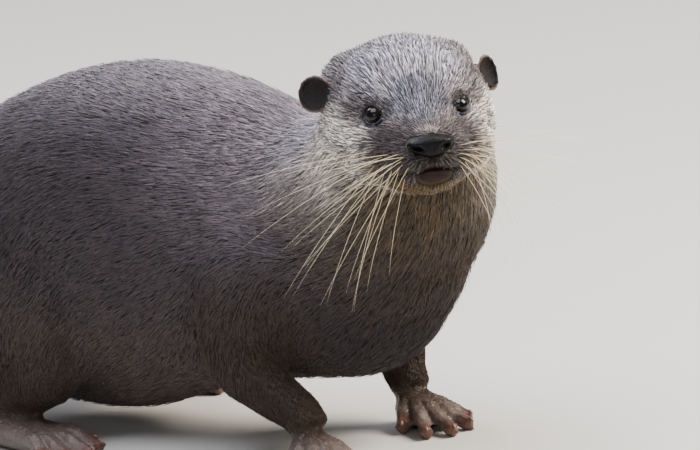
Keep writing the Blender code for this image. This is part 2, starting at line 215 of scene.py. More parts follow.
def object_of(name: str, bm: bmesh.types.BMesh, material: Material) -> Object:
    """Turns a bmesh in millimetres into a smooth-shaded object in metres.

    Args:
        name: The object's name.
        bm: The shape, which is freed.
        material: Its finish.

    Returns:
        The object, at the origin.
    """
    bmesh.ops.scale(bm, vec=(MM, MM, MM), verts=bm.verts)
    mesh = bpy.data.meshes.new(name)
    bm.to_mesh(mesh)
    bm.free()
    mesh.shade_smooth()
    mesh.materials.append(material)
    return link_object(name, mesh)


def settle(obj: Object) -> None:
    """Replaces an object's mesh by what its modifiers make of it.

    Args:
        obj: The object.
    """
    graph = bpy.context.evaluated_depsgraph_get()
    mesh = bpy.data.meshes.new_from_object(obj.evaluated_get(graph))
    obj.modifiers.clear()
    obj.data = mesh


def write_points(mesh: bpy.types.Mesh, points: Array) -> None:
    """Moves a mesh's vertices to points given in millimetres."""
    mesh.vertices.foreach_set("co", (points * MM).astype(np.float32).ravel())
    mesh.update()


def colour_attribute(mesh: bpy.types.Mesh, name: str, values: Array) -> None:
    """Stores three numbers for each vertex as a colour attribute.

    Args:
        mesh: The mesh that holds them.
        name: The attribute's name.
        values: One row of three for each vertex.
    """
    layer = mesh.color_attributes.new(name=name, type="FLOAT_COLOR", domain="POINT")
    rows = np.ones((len(values), 4), np.float32)
    rows[:, :3] = values
    layer.data.foreach_set("color", rows.ravel())


# ---------- where things are


@dataclass(frozen=True)
class HeadFrame:
    """The head's own axes, from midway between the ears: +X to the nose, +Y to its left, +Z to the crown."""

    yaw: float = math.radians(-43)
    pitch: float = math.radians(4)

    @property
    def origin(self) -> Array:
        """The point midway between the ears, in millimetres."""
        corners = [corner for side in ("left", "right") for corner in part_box(f"ear_{side}")]
        return np.array(sum(corners, Vector())) / (4 * MM)

    @property
    def axes(self) -> Array:
        """The head's axes as the columns of a turn."""
        turn = Matrix.Rotation(self.yaw, 3, "Z") @ Matrix.Rotation(-self.pitch, 3, "Y")
        return np.array(turn)

    def local(self, points: Array) -> Array:
        """Gives points of the model's frame in the head's own."""
        return (points - self.origin) @ self.axes

    def place(self, points: Array) -> Array:
        """Gives points of the head's frame in the model's frame."""
        return np.asarray(points, float) @ self.axes.T + self.origin

    def turn(self, directions: Array) -> Array:
        """Turns directions of the head's frame into the model's."""
        return np.asarray(directions, float) @ self.axes.T


HEAD = HeadFrame()
SIDES = {"left": 1.0, "right": -1.0}


def centre_of(node: str) -> Array:
    """The middle of a CAD node's box, in millimetres."""
    low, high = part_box(node)
    return np.array(low + high) / (2 * MM)


# ---------- colours of skin and coat


@dataclass(frozen=True)
class Markings:
    """The animal's colours by place, the same for the skin and the locks that grow from it, with painted
    sheen, shade and reflection laid in at some places.
    """

    # The back's colour is a painted lavender-grey sheen of light from above.
    back: str = "#7e7679"
    # Pale grey painted sheen and rim light on the nape, whose own coat is brown.
    nape_sheen: str = "#bfb9bd"
    # Painted light: the withers and shoulders are paler where the light falls.
    lit_shoulder: str = "#7c7276"
    flank: str = "#393132"
    low_flank: str = "#544940"
    rump: str = "#36282a"
    belly: str = "#5a4d42"
    # The chest's own brown, made darker as painted shade.
    chest: str = "#3b2c1b"
    # Near black painted shade low on the chest, between the forelegs.
    low_chest_shade: str = "#1d1611"
    throat: str = "#4f422c"
    cheek: str = "#eae2d6"
    jowl: str = "#cdc4b9"
    crown: str = "#7e7471"
    temple: str = "#645b57"
    # Silvery painted sheen on the top of the crown.
    crown_sheen: str = "#aeaab1"
    bridge: str = "#707079"
    above_nose: str = "#b3a79e"
    muzzle: str = "#524744"
    pad: str = "#47433c"
    whisker_dot: str = "#2a2320"
    chin: str = "#614c10"
    orange: str = "#94601c"
    eye_ring: str = "#5c5352"
    eye_corner: str = "#4a474c"
    ear: str = "#4b403b"
    ear_rim: str = "#6f5f55"
    ear_cup: str = "#1d1817"
    leg: str = "#352819"
    tail: str = "#55463f"
    foot: str = "#655851"
    toe: str = "#5f3d33"
    lip: str = "#200f08"
    gum: str = "#45221a"
    # Near black painted shade in the parting of the lips.
    mouth_slit_shade: str = "#140d0a"
    lid: str = "#1d1717"
    # Pale blue-grey painted reflection of the sky on the lower lid's moist rim.
    lid_reflection: str = "#636a78"

    def colours(self, points: Array, normals: Array, kinds: Array) -> Array:
        """Works out the coat's linear colour.

        Args:
            points: Places in the model's frame, in millimetres.
            normals: Outward directions there.
            kinds: The name of the CAD node nearest to each.

        Returns:
            One row of red, green and blue for each point.
        """
        height = points[:, 2]
        ahead = points[:, 0]
        local = HEAD.local(points)
        found = self.trunk(height, ahead, normals)
        lay = partial(paint, found)
        lay(self.tail, self.near(kinds, "tail"))
        lay(self.leg, self.near(kinds, "foreleg") * fade(104, 62, height))
        lay(self.leg, self.near(kinds, "hindleg") * fade(78, 38, height))
        self.face(lay, local, kinds)
        feet = self.near(kinds, "forefoot", "hindfoot")
        lay(self.leg, feet)
        lay(self.foot, feet * fade(21, 8, height))
        return found

    @staticmethod
    def near(kinds: Array, *starts: str) -> Array:
        """Gives 1 where the nearest node's name starts with one of these words, and 0 elsewhere."""
        return starting(kinds, starts).astype(float)

    def trunk(self, height: Array, ahead: Array, normals: Array) -> Array:
        """Colours the trunk from back to belly and from rump to chest, with painted sheen on back, shoulders
        and nape and painted shade on the chest.

        Args:
            height: Height above the floor.
            ahead: Place along the body.
            normals: Outward directions.

        Returns:
            One colour for each point.
        """
        upward = normals[:, 2]
        found = np.tile(np.array(linear(self.flank)), (len(height), 1))
        withers = fade(115, 190, ahead) * fade(250, 215, ahead)
        # Painted sheen: the trunk is paler where its skin faces up, as light from above falls there.
        paint(found, self.back, fade(0.50, 0.98, upward) * fade(104, 154, height))
        paint(found, self.low_flank, fade(95, 40, height))
        paint(found, self.rump, fade(50, -60, ahead) * fade(0.95, 0.3, upward))
        # Painted light: withers and shoulders are made paler, as where light falls on them.
        paint(found, self.lit_shoulder, withers * fade(88, 140, height))
        # Painted sheen: the nape is pale grey from rim light, laid over its own brown.
        paint(found, self.nape_sheen, fade(190, 225, ahead) * fade(110, 150, height))
        paint(found, self.belly, fade(-0.35, -0.8, upward) * fade(60, 30, height))
        # The chest's own brown, made darker as painted shade.
        paint(found, self.chest, fade(225, 265, ahead) * fade(170, 120, height))
        # Painted shade: the low chest between the forelegs is near black.
        paint(found, self.low_chest_shade, fade(205, 240, ahead) * fade(95, 62, height))
        return found

    def face(self, lay: Callable[[str, Array], None], local: Array, kinds: Array) -> None:
        """Paints head, throat, cheeks, muzzle and chin, with a painted sheen on the crown.

        Args:
            lay: Paints a colour over what is there, by share.
            local: The points in the head's frame.
            kinds: The name of the CAD node nearest to each.
        """
        x, y, z = local.T
        wide = np.abs(y)
        head = self.near(kinds, "head", "jaw", "ear")
        neck = self.near(kinds, "neck", "chest")
        drop = z + 0.18 * np.abs(x - 20)

        def spot(middle: Triple, reach: Triple) -> Array:
            """Gives 1 in the middle of an egg-shaped place on either side of the head, and 0 round it.

            Args:
                middle: Its middle.
                reach: Its half sizes.

            Returns:
                One value for each point.
            """
            away = np.sqrt(
                ((x - middle[0]) / reach[0]) ** 2
                + ((wide - middle[1]) / reach[1]) ** 2
                + ((z - middle[2]) / reach[2]) ** 2
            )
            return fade(1.25, 0.6, away)

        face = np.clip(head + neck, 0, 1)
        lay(self.crown, head * fade(-34, 12, x + 0.3 * z))
        # Painted sheen: the crown's top is silvered where light from above falls.
        lay(self.crown_sheen, head * spot((24, 8, 14), (34, 21, 22)))
        lay(self.throat, face * fade(-18, -34, z) * fade(-88, -52, z) * fade(-38, -8, x))
        lay(self.jowl, face * spot((2, 44, -28), (25, 18, 22)))
        lay(self.jowl, head * fade(-6, -16, drop) * fade(60, 40, x))
        lay(self.bridge, head * spot((50, 0, -4), (22, 13, 12)))
        lay(self.cheek, head * spot((36, 32, -22), (14, 13, 11)))
        lay(self.cheek, head * spot((24, 38, -12), (14, 10, 14)))
        lay(self.cheek, face * spot((26, 38, -36), (15, 14, 13)))
        lay(self.cheek, face * spot((4, 44, -22), (20, 14, 19)))
        lay(self.temple, head * spot((19, 36, 1), (17, 11, 8)) * 0.8)
        lay(self.muzzle, head * fade(44, 54, x) * fade(-10, -16, z) * fade(27, 19, wide))
        lay(self.eye_corner, head * spot((47, 12.5, -9), (6, 4.5, 5)) * 0.8)
        lay(self.eye_ring, head * spot((41, 21, -8), (7.2, 7.0, 6.2)) * fade(-14, -9, z))
        lay(self.above_nose, head * spot((73, 0, -12.5), (6, 12, 3.4)) * 0.7)
        lay(self.pad, head * fade(56, 68, x) * fade(-23, -27, z))
        # Each whisker of the pad stands in a dark dot, and the dots run in rows.
        dots = fade(0.25, 0.75, np.abs(np.sin(z * 1.9 + 0.3 * wide) * np.sin((wide - 0.4 * z) * 1.75)))
        lay(self.whisker_dot, head * spot((62, 14, -27), (9, 9, 7)) * dots * 0.7)
        lay(self.chin, head * fade(40, 52, x) * fade(-36.5, -39.5, z))
        lay(self.orange, head * spot((64, 11.5, -38.5), (6, 5.6, 3.0)) * fade(2, -2, y) * 0.65)
        lay(self.ear, self.near(kinds, "ear"))


MARKINGS = Markings()


# ---------- finishes


@dataclass(frozen=True)
class CoatFinish:
    """Guard hair of an otter: smooth, slightly oily keratin, dark at the root and pale at the tip."""

    name: str = "otter_guard_hair"
    root_dark: float = 0.40
    tip_light: float = 1.22
    strength_range: float = 3.0
    roughness: float = 0.48
    specular: float = 0.32
    sheen: float = 0.14
    sheen_roughness: float = 0.4
    sheen_tint: str = "#c9c6d6"
    clump_mm: float = 14.0
    clump_dark: float = 0.82
    clump_light: float = 1.18

    def material(self) -> Material:
        """Builds the hair material from the locks' own attributes.

        Returns:
            The material.
        """
        material, tree, shader = blank_material(
            self.name,
            {
                "Roughness": self.roughness,
                "Specular IOR Level": self.specular,
                "Sheen Weight": self.sheen,
                "Sheen Roughness": self.sheen_roughness,
                "Sheen Tint": (*linear(self.sheen_tint), 1.0),
            },
        )
        place = add_node(tree, "TexCoord").outputs["Object"]
        marking = add_node(tree, "Attribute", attribute_name="marking").outputs["Color"]
        lock = add_node(tree, "Attribute", attribute_name="lock").outputs["Color"]
        split = add_node(tree, "SeparateColor", links={0: lock})
        # Root to tip: the under-fur shades the root, and light wears the tip pale.
        along = add_node(tree, "MapRange", {3: self.root_dark, 4: self.tip_light}, {0: split.outputs["Red"]})
        # One lock differs from the next, and patches a few locks wide drift together.
        each = add_node(tree, "MapRange", {4: self.strength_range}, {0: split.outputs["Green"]})
        patch = add_node(tree, "TexNoise", {"Scale": per_m(self.clump_mm), "Detail": 2.0}, {"Vector": place})
        span = {1: 0.3, 2: 0.7, 3: self.clump_dark, 4: self.clump_light}
        drift = add_node(tree, "MapRange", span, {0: patch})
        strength = add_node(tree, "Math", links={0: along, 1: each}, operation="MULTIPLY")
        strength = add_node(tree, "Math", links={0: strength, 1: drift}, operation="MULTIPLY")
        colour = add_node(tree, "VectorMath", links={0: marking, "Scale": strength}, operation="SCALE")
        feed(shader, {"Base Color": colour})
        return material


@dataclass(frozen=True)
class SkinFinish:
    """Otter hide: matt, darkened under the coat as painted shade, and bare, finely wrinkled and moist on
    feet and lips.
    """

    name: str = "otter_skin"
    # How dark the hide is painted under the coat, as the shade between locks.
    under_coat_shade: float = 0.78
    mottle_mm: float = 3.5
    mottle_dark: float = 0.72
    mottle_light: float = 1.25
    wrinkle_mm: float = 1.5
    wrinkle_width: float = 0.18
    pore_mm: float = 0.55
    pore_share: float = 0.35
    bump_mm: float = 0.24
    bump_strength: float = 0.9
    dry_roughness: float = 0.85
    moist_roughness: float = 0.21
    specular: float = 0.32

    def material(self) -> Material:
        """Builds the hide from the skin's marking and its masks for bare places.

        Returns:
            The material.
        """
        material, tree, shader = blank_material(self.name, {"Specular IOR Level": self.specular})
        place = add_node(tree, "TexCoord").outputs["Object"]
        marking = add_node(tree, "Attribute", attribute_name="marking").outputs["Color"]
        masks = add_node(tree, "Attribute", attribute_name="bare").outputs["Color"]
        split = add_node(tree, "SeparateColor", links={0: masks})
        bare, moist = split.outputs["Red"], split.outputs["Green"]
        # Under the coat the hide is darkened, as painted shade in the gaps between locks.
        shade = add_node(tree, "MapRange", {3: self.under_coat_shade, 4: 1.0}, {0: bare})
        # Mottling of live skin, drawn a few millimetres wide so that it shows.
        blotches = {"Scale": per_m(self.mottle_mm), "Detail": 5.0}
        mottle = add_node(tree, "TexNoise", blotches, {"Vector": place})
        span = {1: 0.25, 2: 0.75, 3: self.mottle_dark, 4: self.mottle_light}
        uneven = add_node(tree, "MapRange", span, {0: mottle})
        both = add_node(tree, "Math", links={0: shade, 1: uneven}, operation="MULTIPLY")
        colour = add_node(tree, "VectorMath", links={0: marking, "Scale": both}, operation="SCALE")
        cells = {"Scale": per_m(self.wrinkle_mm)}
        wrinkles = add_node(tree, "TexVoronoi", cells, {"Vector": place}, feature="DISTANCE_TO_EDGE")
        creased = add_node(tree, "MapRange", {2: self.wrinkle_width}, {0: wrinkles})
        pores = add_node(tree, "TexNoise", {"Scale": per_m(self.pore_mm), "Detail": 3.0}, {"Vector": place})
        rough = {0: pores, 1: creased}
        relief = add_node(tree, "Math", {2: self.pore_share}, rough, operation="MULTIPLY_ADD")
        height = {"Distance": self.bump_mm * MM, "Strength": self.bump_strength}
        bump = add_node(tree, "Bump", height, {"Height": relief})
        gloss = add_node(tree, "MapRange", {3: self.dry_roughness, 4: self.moist_roughness}, {0: moist})
        feed(shader, {"Base Color": colour, "Normal": bump, "Roughness": gloss})
        return material


@dataclass(frozen=True)
class NoseFinish:
    """Bare nose leather: black, pebbled and moist, so it is dark with a broken shine."""

    name: str = "nose_leather"
    deep: str = "#050506"
    worn: str = "#0f0f11"
    pebble_mm: float = 0.7
    pebble_height_mm: float = 0.25
    pebble_strength: float = 0.8
    blotch_mm: float = 4.0
    moist_roughness: float = 0.28
    worn_roughness: float = 0.44
    specular: float = 0.12
    film: float = 0.05
    film_roughness: float = 0.25

    def material(self) -> Material:
        """Builds the pebbled leather.

        Returns:
            The material.
        """
        material, tree, shader = blank_material(
            self.name,
            {
                "Specular IOR Level": self.specular,
                "Coat Weight": self.film,
                "Coat Roughness": self.film_roughness,
            },
        )
        place = add_node(tree, "TexCoord").outputs["Object"]
        pebbles = {"Scale": per_m(self.pebble_mm)}
        cells = add_node(tree, "TexVoronoi", pebbles, {"Vector": place}, feature="F1")
        blotches = {"Scale": per_m(self.blotch_mm), "Detail": 3.0}
        blotch = add_node(tree, "TexNoise", blotches, {"Vector": place})
        colour = add_node(tree, "ValToRGB", links={0: blotch}, stops=((0.35, self.deep), (0.75, self.worn)))
        height = {"Distance": self.pebble_height_mm * MM, "Strength": self.pebble_strength}
        bump = add_node(tree, "Bump", height, {"Height": cells.outputs["Distance"]}, invert=True)
        gloss = add_node(tree, "MapRange", {3: self.moist_roughness, 4: self.worn_roughness}, {0: blotch})
        feed(shader, {"Base Color": colour, "Normal": bump, "Roughness": gloss})
        return material


@dataclass(frozen=True)
class EyeFinish:
    """A dark living eye: nearly black pupil in a deep brown iris under a wet, clear cornea."""

    name: str = "eye_glass"
    pupil: str = "#050404"
    iris: str = "#130b08"
    limbus: str = "#0b0807"
    pupil_edge: Pair = (0.24, 0.34)
    limbus_edge: Pair = (0.58, 0.68)
    roughness: float = 0.2
    specular: float = 0.05
    tear_film: float = 1.0
    tear_roughness: float = 0.02
    tear_ior: float = 1.38

    def material(self) -> Material:
        """Builds the eye from the angle off its axis, kept on the mesh as an attribute.

        Returns:
            The material.
        """
        material, tree, shader = blank_material(
            self.name,
            {
                "Roughness": self.roughness,
                "Specular IOR Level": self.specular,
                "Coat Weight": self.tear_film,
                "Coat Roughness": self.tear_roughness,
                "Coat IOR": self.tear_ior,
            },
        )
        off_axis = add_node(tree, "Attribute", attribute_name="off_axis").outputs["Color"]
        ring = add_node(tree, "SeparateColor", links={0: off_axis}).outputs["Red"]
        stops = (
            (0.0, self.pupil),
            (self.pupil_edge[0], self.pupil),
            (self.pupil_edge[1], self.iris),
            (self.limbus_edge[0], self.iris),
            (self.limbus_edge[1], self.limbus),
            (1.0, self.limbus),
        )
        feed(shader, {"Base Color": add_node(tree, "ValToRGB", links={0: ring}, stops=stops)})
        return material


@dataclass(frozen=True)
class HornFinish:
    """Claw horn: translucent keratin with fine lengthwise growth lines, polished by wear."""

    name: str = "claw_horn"
    base: str = "#5e483e"
    tip: str = "#8d7263"
    grain_mm: float = 0.8
    bump_mm: float = 0.08
    bump_strength: float = 0.5
    roughness: float = 0.34

    def material(self) -> Material:
        """Builds the horn.

        Returns:
            The material.
        """
        material, tree, shader = blank_material(self.name, {"Roughness": self.roughness})
        place = add_node(tree, "TexCoord").outputs["Object"]
        grain = add_node(tree, "TexNoise", {"Scale": per_m(self.grain_mm), "Detail": 4.0}, {"Vector": place})
        colour = add_node(tree, "ValToRGB", links={0: grain}, stops=((0.3, self.base), (0.7, self.tip)))
        height = {"Distance": self.bump_mm * MM, "Strength": self.bump_strength}
        bump = add_node(tree, "Bump", height, {"Height": grain})
        feed(shader, {"Base Color": colour, "Normal": bump})
        return material


@dataclass(frozen=True)
class WhiskerFinish:
    """Whisker keratin: stiff, glossy and straw-coloured, paler towards the tip."""

    name: str = "whisker_keratin"
    base: str = "#d6c08c"
    tip: str = "#fff2cf"
    pale_from: float = 0.55
    roughness: float = 0.3

    def material(self) -> Material:
        """Builds the whisker material from each whisker's length attribute.

        Returns:
            The material.
        """
        material, tree, shader = blank_material(self.name, {"Roughness": self.roughness})
        lock = add_node(tree, "Attribute", attribute_name="lock").outputs["Color"]
        along = add_node(tree, "SeparateColor", links={0: lock}).outputs["Red"]
        stops = ((0.0, self.base), (self.pale_from, self.tip))
        feed(shader, {"Base Color": add_node(tree, "ValToRGB", links={0: along}, stops=stops)})
        return material


# ---------- the skin as arrays


@dataclass
class Surface:
    """A triangle mesh as arrays, in millimetres, with what the coat needs to know at each vertex."""

    points: Array
    triangles: Array
    edges: Array
    kinds: Array = field(default_factory=lambda: np.empty(0, "<U16"))
    flow: Array = field(default_factory=lambda: np.empty((0, 3)))
    marking: Array = field(default_factory=lambda: np.empty((0, 3)))
    bare: Array = field(default_factory=lambda: np.empty(0))
    ear_cup: Array = field(default_factory=lambda: np.empty(0))

    @classmethod
    def of_mesh(cls, mesh: bpy.types.Mesh) -> "Surface":
        """Reads a mesh's points, triangles and edges.

        Args:
            mesh: A mesh in metres.

        Returns:
            Its surface in millimetres.
        """
        mesh.calc_loop_triangles()
        points = np.empty(len(mesh.vertices) * 3, np.float32)
        mesh.vertices.foreach_get("co", points)
        triangles = np.empty(len(mesh.loop_triangles) * 3, np.int32)
        mesh.loop_triangles.foreach_get("vertices", triangles)
        edges = np.empty(len(mesh.edges) * 2, np.int32)
        mesh.edges.foreach_get("vertices", edges)
        return cls(points.reshape(-1, 3).astype(float) / MM, triangles.reshape(-1, 3), edges.reshape(-1, 2))

    def normals(self) -> Array:
        """Works out area-weighted outward directions at the vertices.

        Returns:
            One direction for each vertex.
        """
        corners = self.points[self.triangles]
        across = np.cross(corners[:, 1] - corners[:, 0], corners[:, 2] - corners[:, 0])
        total = np.zeros_like(self.points)
        for axis in range(3):
            for corner in range(3):
                total[:, axis] += np.bincount(self.triangles[:, corner], across[:, axis], len(total))
        return unit(total)

    def averaged(self, values: Array) -> Array:
        """Gives each vertex the mean of its neighbours' values.

        Args:
            values: One number or row for each vertex.

        Returns:
            The means, in the same form.
        """
        rows = values.reshape(len(self.points), -1)
        start, end = self.edges.T
        count = np.bincount(start, minlength=len(rows)) + np.bincount(end, minlength=len(rows))
        total = np.empty_like(rows, dtype=float)
        for column in range(rows.shape[1]):
            total[:, column] = np.bincount(start, rows[end, column], len(rows))
            total[:, column] += np.bincount(end, rows[start, column], len(rows))
        return (total / np.maximum(count, 1)[:, None]).reshape(values.shape)

    def eased(self, values: Array, rounds: int) -> Array:
        """Spreads values over the surface by repeated averaging.

        Args:
            values: One number or row for each vertex.
            rounds: How often they are averaged.

        Returns:
            The spread values.
        """
        for _ in range(rounds):
            values = 0.5 * (values + self.averaged(values))
        return values

    def relax(self, strength: Array, rounds: int) -> None:
        """Smooths the shape without shrinking it.

        Args:
            strength: How far each vertex goes, from 0 to 1.
            rounds: Number of in-and-out passes.
        """
        for _ in range(rounds):
            for step in (0.52, -0.54):
                self.points += (self.averaged(self.points) - self.points) * (step * strength)[:, None]

    def tree(self) -> BVHTree:
        """Builds a search tree over the triangles."""
        return BVHTree.FromPolygons(self.points.tolist(), self.triangles.tolist())


# ---------- the eyes


@dataclass(frozen=True)
class Eye:
    """One eyeball, and the lids that the skin forms round it."""

    side: str
    look: Triple = (0.74, 0.60, 0.24)
    shift: Triple = (0.0, 0.0, 0.0)
    radius: float = 5.3
    opening_width: float = 4.1
    opening_height: float = 4.15
    corner_reach: float = 0.6
    lid_thickness: float = 0.7
    lid_reach: Pair = (1.95, 1.15)
    rim: Pair = (0.25, 1.14)
    fold: Pair = (-0.40, 1.42)
    crease_width: float = 0.10
    margin_gap: float = 0.22
    socket_depth: float = 1.5
    cornea_bulge: float = 0.5
    cornea_share: float = 0.5

    @property
    def centre(self) -> Array:
        """The eyeball's centre, from its CAD node."""
        return centre_of(f"eye_{self.side}") + HEAD.turn(self.shift)

    @property
    def axes(self) -> Array:
        """Rows: forward along the look, towards the inner corner, and up.

        Returns:
            A turn of 3 by 3.
        """
        out = SIDES[self.side]
        ahead = unit(HEAD.turn((self.look[0], out * self.look[1], self.look[2])))
        upright = HEAD.turn((0, 0, 1))
        inner = unit(np.cross(upright, ahead)) * -out
        up = unit(upright - ahead * (upright @ ahead))
        return np.array([ahead, inner, up])

    def build(self, material: Material) -> Object:
        """Models the ball with its cornea bulge and marks the angle off its axis.

        Args:
            material: The wet eye finish.

        Returns:
            The eye, in place of its CAD node.
        """
        bm = bmesh.new()
        bmesh.ops.create_uvsphere(bm, u_segments=64, v_segments=48, radius=self.radius)
        axes = self.axes
        angles = []
        for vert in bm.verts:
            share = vert.co.z / self.radius
            angles.append(math.acos(max(-1.0, min(1.0, share))) / (math.pi / 2))
            lift = self.cornea_bulge * max(0.0, 1 - (angles[-1] / self.cornea_share) ** 2)
            ball = np.array(vert.co) * (1 + lift / self.radius)
            # The sphere's pole becomes the middle of the cornea.
            vert.co = Vector(self.centre + axes[0] * ball[2] + axes[1] * ball[0] + axes[2] * ball[1])
        bmesh.ops.recalc_face_normals(bm, faces=bm.faces)
        piece = object_of(f"eyeball_{self.side}", bm, material)
        rows = np.zeros((len(angles), 3))
        rows[:, 0] = angles
        colour_attribute(piece.data, "off_axis", rows)
        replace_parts(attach(piece, BODY), f"eye_{self.side}")
        return piece

    def aperture(self, points: Array) -> tuple[Array, Array]:
        """Tells how far points lie from the opening between the lids, seen along the look.

        Args:
            points: Places in the model's frame.

        Returns:
            The opening's own measure, 1 on the lid margin and less inside it, and the height in the opening.
        """
        ahead, inner, up = ((points - self.centre) @ self.axes.T).T
        # The inner corner is drawn out a little and set lower, as the lids meet there.
        wide = self.opening_width + self.corner_reach * fade(0.0, 4.0, inner)
        measure = np.sqrt((inner / wide) ** 2 + ((up + 0.10 * inner) / self.opening_height) ** 2)
        return np.where(ahead > 0.3, measure, WELL_CLEAR), up

    def within(self, points: Array, radii: float) -> Array:
        """Tells which points lie less than so many radii from the eyeball's centre."""
        return np.linalg.norm(points - self.centre, axis=1) < radii * self.radius

    def form_lids(self, surface: Surface) -> None:
        """Draws the skin back behind the eyeball in the opening, and over it as lids round about.

        Args:
            surface: The skin, which is changed.
        """
        close = self.within(surface.points, 2.6)
        points = surface.points[close]
        measure, _ = self.aperture(points)
        axes = self.axes
        place = (points - self.centre) @ axes.T
        aside = np.sqrt(place[:, 1] ** 2 + place[:, 2] ** 2)
        cover = np.sqrt(np.maximum((self.radius + self.lid_thickness) ** 2 - aside**2, 1.0))
        rim, fold = (
            height * np.exp(-(((measure - at) / self.crease_width) ** 2))
            for height, at in (self.rim, self.fold)
        )
        place[:, 0] += (cover + (rim + fold) - place[:, 0]) * fade(*self.lid_reach, measure)
        margin = np.abs(measure - 1.0) < 0.07
        on_ball = np.sqrt(np.maximum((self.radius + self.margin_gap) ** 2 - aside**2, 1.0))
        place[:, 0] = np.where(margin, on_ball, place[:, 0])
        behind = unit(place) * (self.radius - self.socket_depth)
        place = np.where((measure <= 0.93)[:, None], behind, place)
        surface.points[close] = place @ axes + self.centre


EYES = [Eye("left", shift=(0.0, 0.0, -1.0)), Eye("right")]


# ---------- nose leather


@dataclass(frozen=True)
class Nose:
    """The bare leather pad: wide above, narrower below, with a comma-shaped nostril each side."""

    centre: Triple = (76.3, 0.0, -21.2)
    size: Triple = (5.2, 11.6, 5.3)
    nostril: Pair = (0.60, -0.12)
    nostril_depth: float = 2.6
    slot_depth: float = 1.5
    wing_height: float = 0.8
    cleft_depth: float = 0.5

    def measure(self, local: Array) -> Array:
        """Tells how far points lie from the pad's middle, seen from in front.

        Args:
            local: Points in the head's frame.

        Returns:
            1 on the pad's edge, less within it and large behind it.
        """
        aside, above = local[:, 1] / self.size[1], (local[:, 2] - self.centre[2]) / self.size[2]
        across = np.sqrt(aside**2 + above**2)
        return np.where(local[:, 0] > self.centre[0] - 9, across, WELL_CLEAR)

    def build(self, material: Material) -> Object:
        """Models the pad from a ball with its front pole on the nose's axis.

        Args:
            material: The leather.

        Returns:
            The pad, in place of its CAD node.
        """
        bm = bmesh.new()
        bmesh.ops.create_uvsphere(bm, u_segments=112, v_segments=72, radius=1.0)
        balls = np.array([vert.co for vert in bm.verts])
        places = HEAD.place(self.shape(balls[:, 2], balls[:, 0], balls[:, 1]))
        for vert, place in zip(bm.verts, places):
            vert.co = Vector(place)
        bmesh.ops.recalc_face_normals(bm, faces=bm.faces)
        piece = object_of("nose_leather_pad", bm, material)
        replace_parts(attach(piece, BODY), "nose_pad")
        return piece

    def shape(self, ahead: Array, side: Array, up: Array) -> Array:
        """Shapes a unit ball into the pad.

        Args:
            ahead: Forward part of each direction.
            side: Sideways part.
            up: Upward part.

        Returns:
            Points in the head's frame.
        """
        squared = np.abs(ahead) ** 0.8
        waist = 1 - 0.42 * fade(0.25, -0.9, up)
        x = np.sign(ahead) * squared * self.size[0]
        y = side * waist * self.size[1]
        z = np.sign(up) * np.abs(up) ** 0.9 * self.size[2]
        front = fade(-0.30, 0.25, ahead)
        for out in SIDES.values():
            b, c = out * side - self.nostril[0], up - self.nostril[1]
            half = fade(0.0, 0.25, out * side)
            pit = np.exp(-((b / 0.17) ** 2 + ((c - 0.25 * b) / 0.18) ** 2)) * half * front
            # The comma's tail runs outwards and up, to open at the pad's upper corner.
            tail = np.exp(-(((c - 0.8 * b) / 0.15) ** 2)) * fade(-0.02, 0.16, b) * half * front
            wing = np.exp(-(((b - 0.02) / 0.26) ** 2 + ((c - 0.48) / 0.22) ** 2)) * front
            x -= self.nostril_depth * pit + self.slot_depth * tail
            y -= out * self.slot_depth * 0.7 * tail
            x += self.wing_height * wing
        x -= self.cleft_depth * np.exp(-((side / 0.06) ** 2)) * fade(0.2, -0.3, up) * front
        return np.stack([x, y, z], axis=1) + np.array(self.centre)


NOSE = Nose()


# ---------- the skin


class Part(Enum):
    """Regions of the skin that differ in coat and treatment, by how their CAD nodes' names start."""

    HEAD = ("head", "jaw")
    EAR = ("ear",)
    NECK = ("neck",)
    TRUNK = ("chest", "belly", "rump")
    TAIL = ("tail",)
    LEG = ("foreleg", "hindleg")
    FOOT = ("forefoot", "hindfoot")


@dataclass(frozen=True)
class Pelt:
    """How the coat grows on one region: lock sizes, overlap, evenness, and play of light and dark."""

    length: float
    width: float
    depth: float
    cover: float
    smoothing: float
    contrast: float


PELTS = {
    Part.HEAD: Pelt(7.0, 0.38, 1.3, 3.0, 0.35, 0.95),
    Part.EAR: Pelt(2.4, 0.34, 0.40, 2.4, 0.0, 0.30),
    Part.NECK: Pelt(9.0, 0.62, 1.4, 3.5, 0.9, 0.36),
    Part.TRUNK: Pelt(9.5, 0.70, 1.15, 3.25, 1.0, 0.15),
    Part.TAIL: Pelt(8.0, 0.66, 1.2, 2.2, 0.6, 0.15),
    Part.LEG: Pelt(6.4, 0.64, 1.2, 2.0, 0.6, 0.16),
    Part.FOOT: Pelt(2.0, 0.34, 0.30, 1.6, 0.1, 0.16),
}


@dataclass(frozen=True)
class Swelling:
    """A soft rise on both sides of the head, with its place and reach in the head's frame."""

    height: float
    middle: Triple
    reach: Triple

    def relief(self, x: Array, y: Array, z: Array) -> Array:
        """Works out how far points move outwards, from their places in the head's frame.

        Args:
            x: How far ahead they lie.
            y: How far aside.
            z: How far up.

        Returns:
            One move for each point.
        """
        (ahead, aside, up), (long, wide, high) = self.middle, self.reach
        forward, level = ((x - ahead) / long) ** 2, ((z - up) / high) ** 2
        across = (((y - out * aside) / wide) ** 2 for out in SIDES.values())
        return sum(self.height * np.exp(-(forward + side + level)) for side in across)


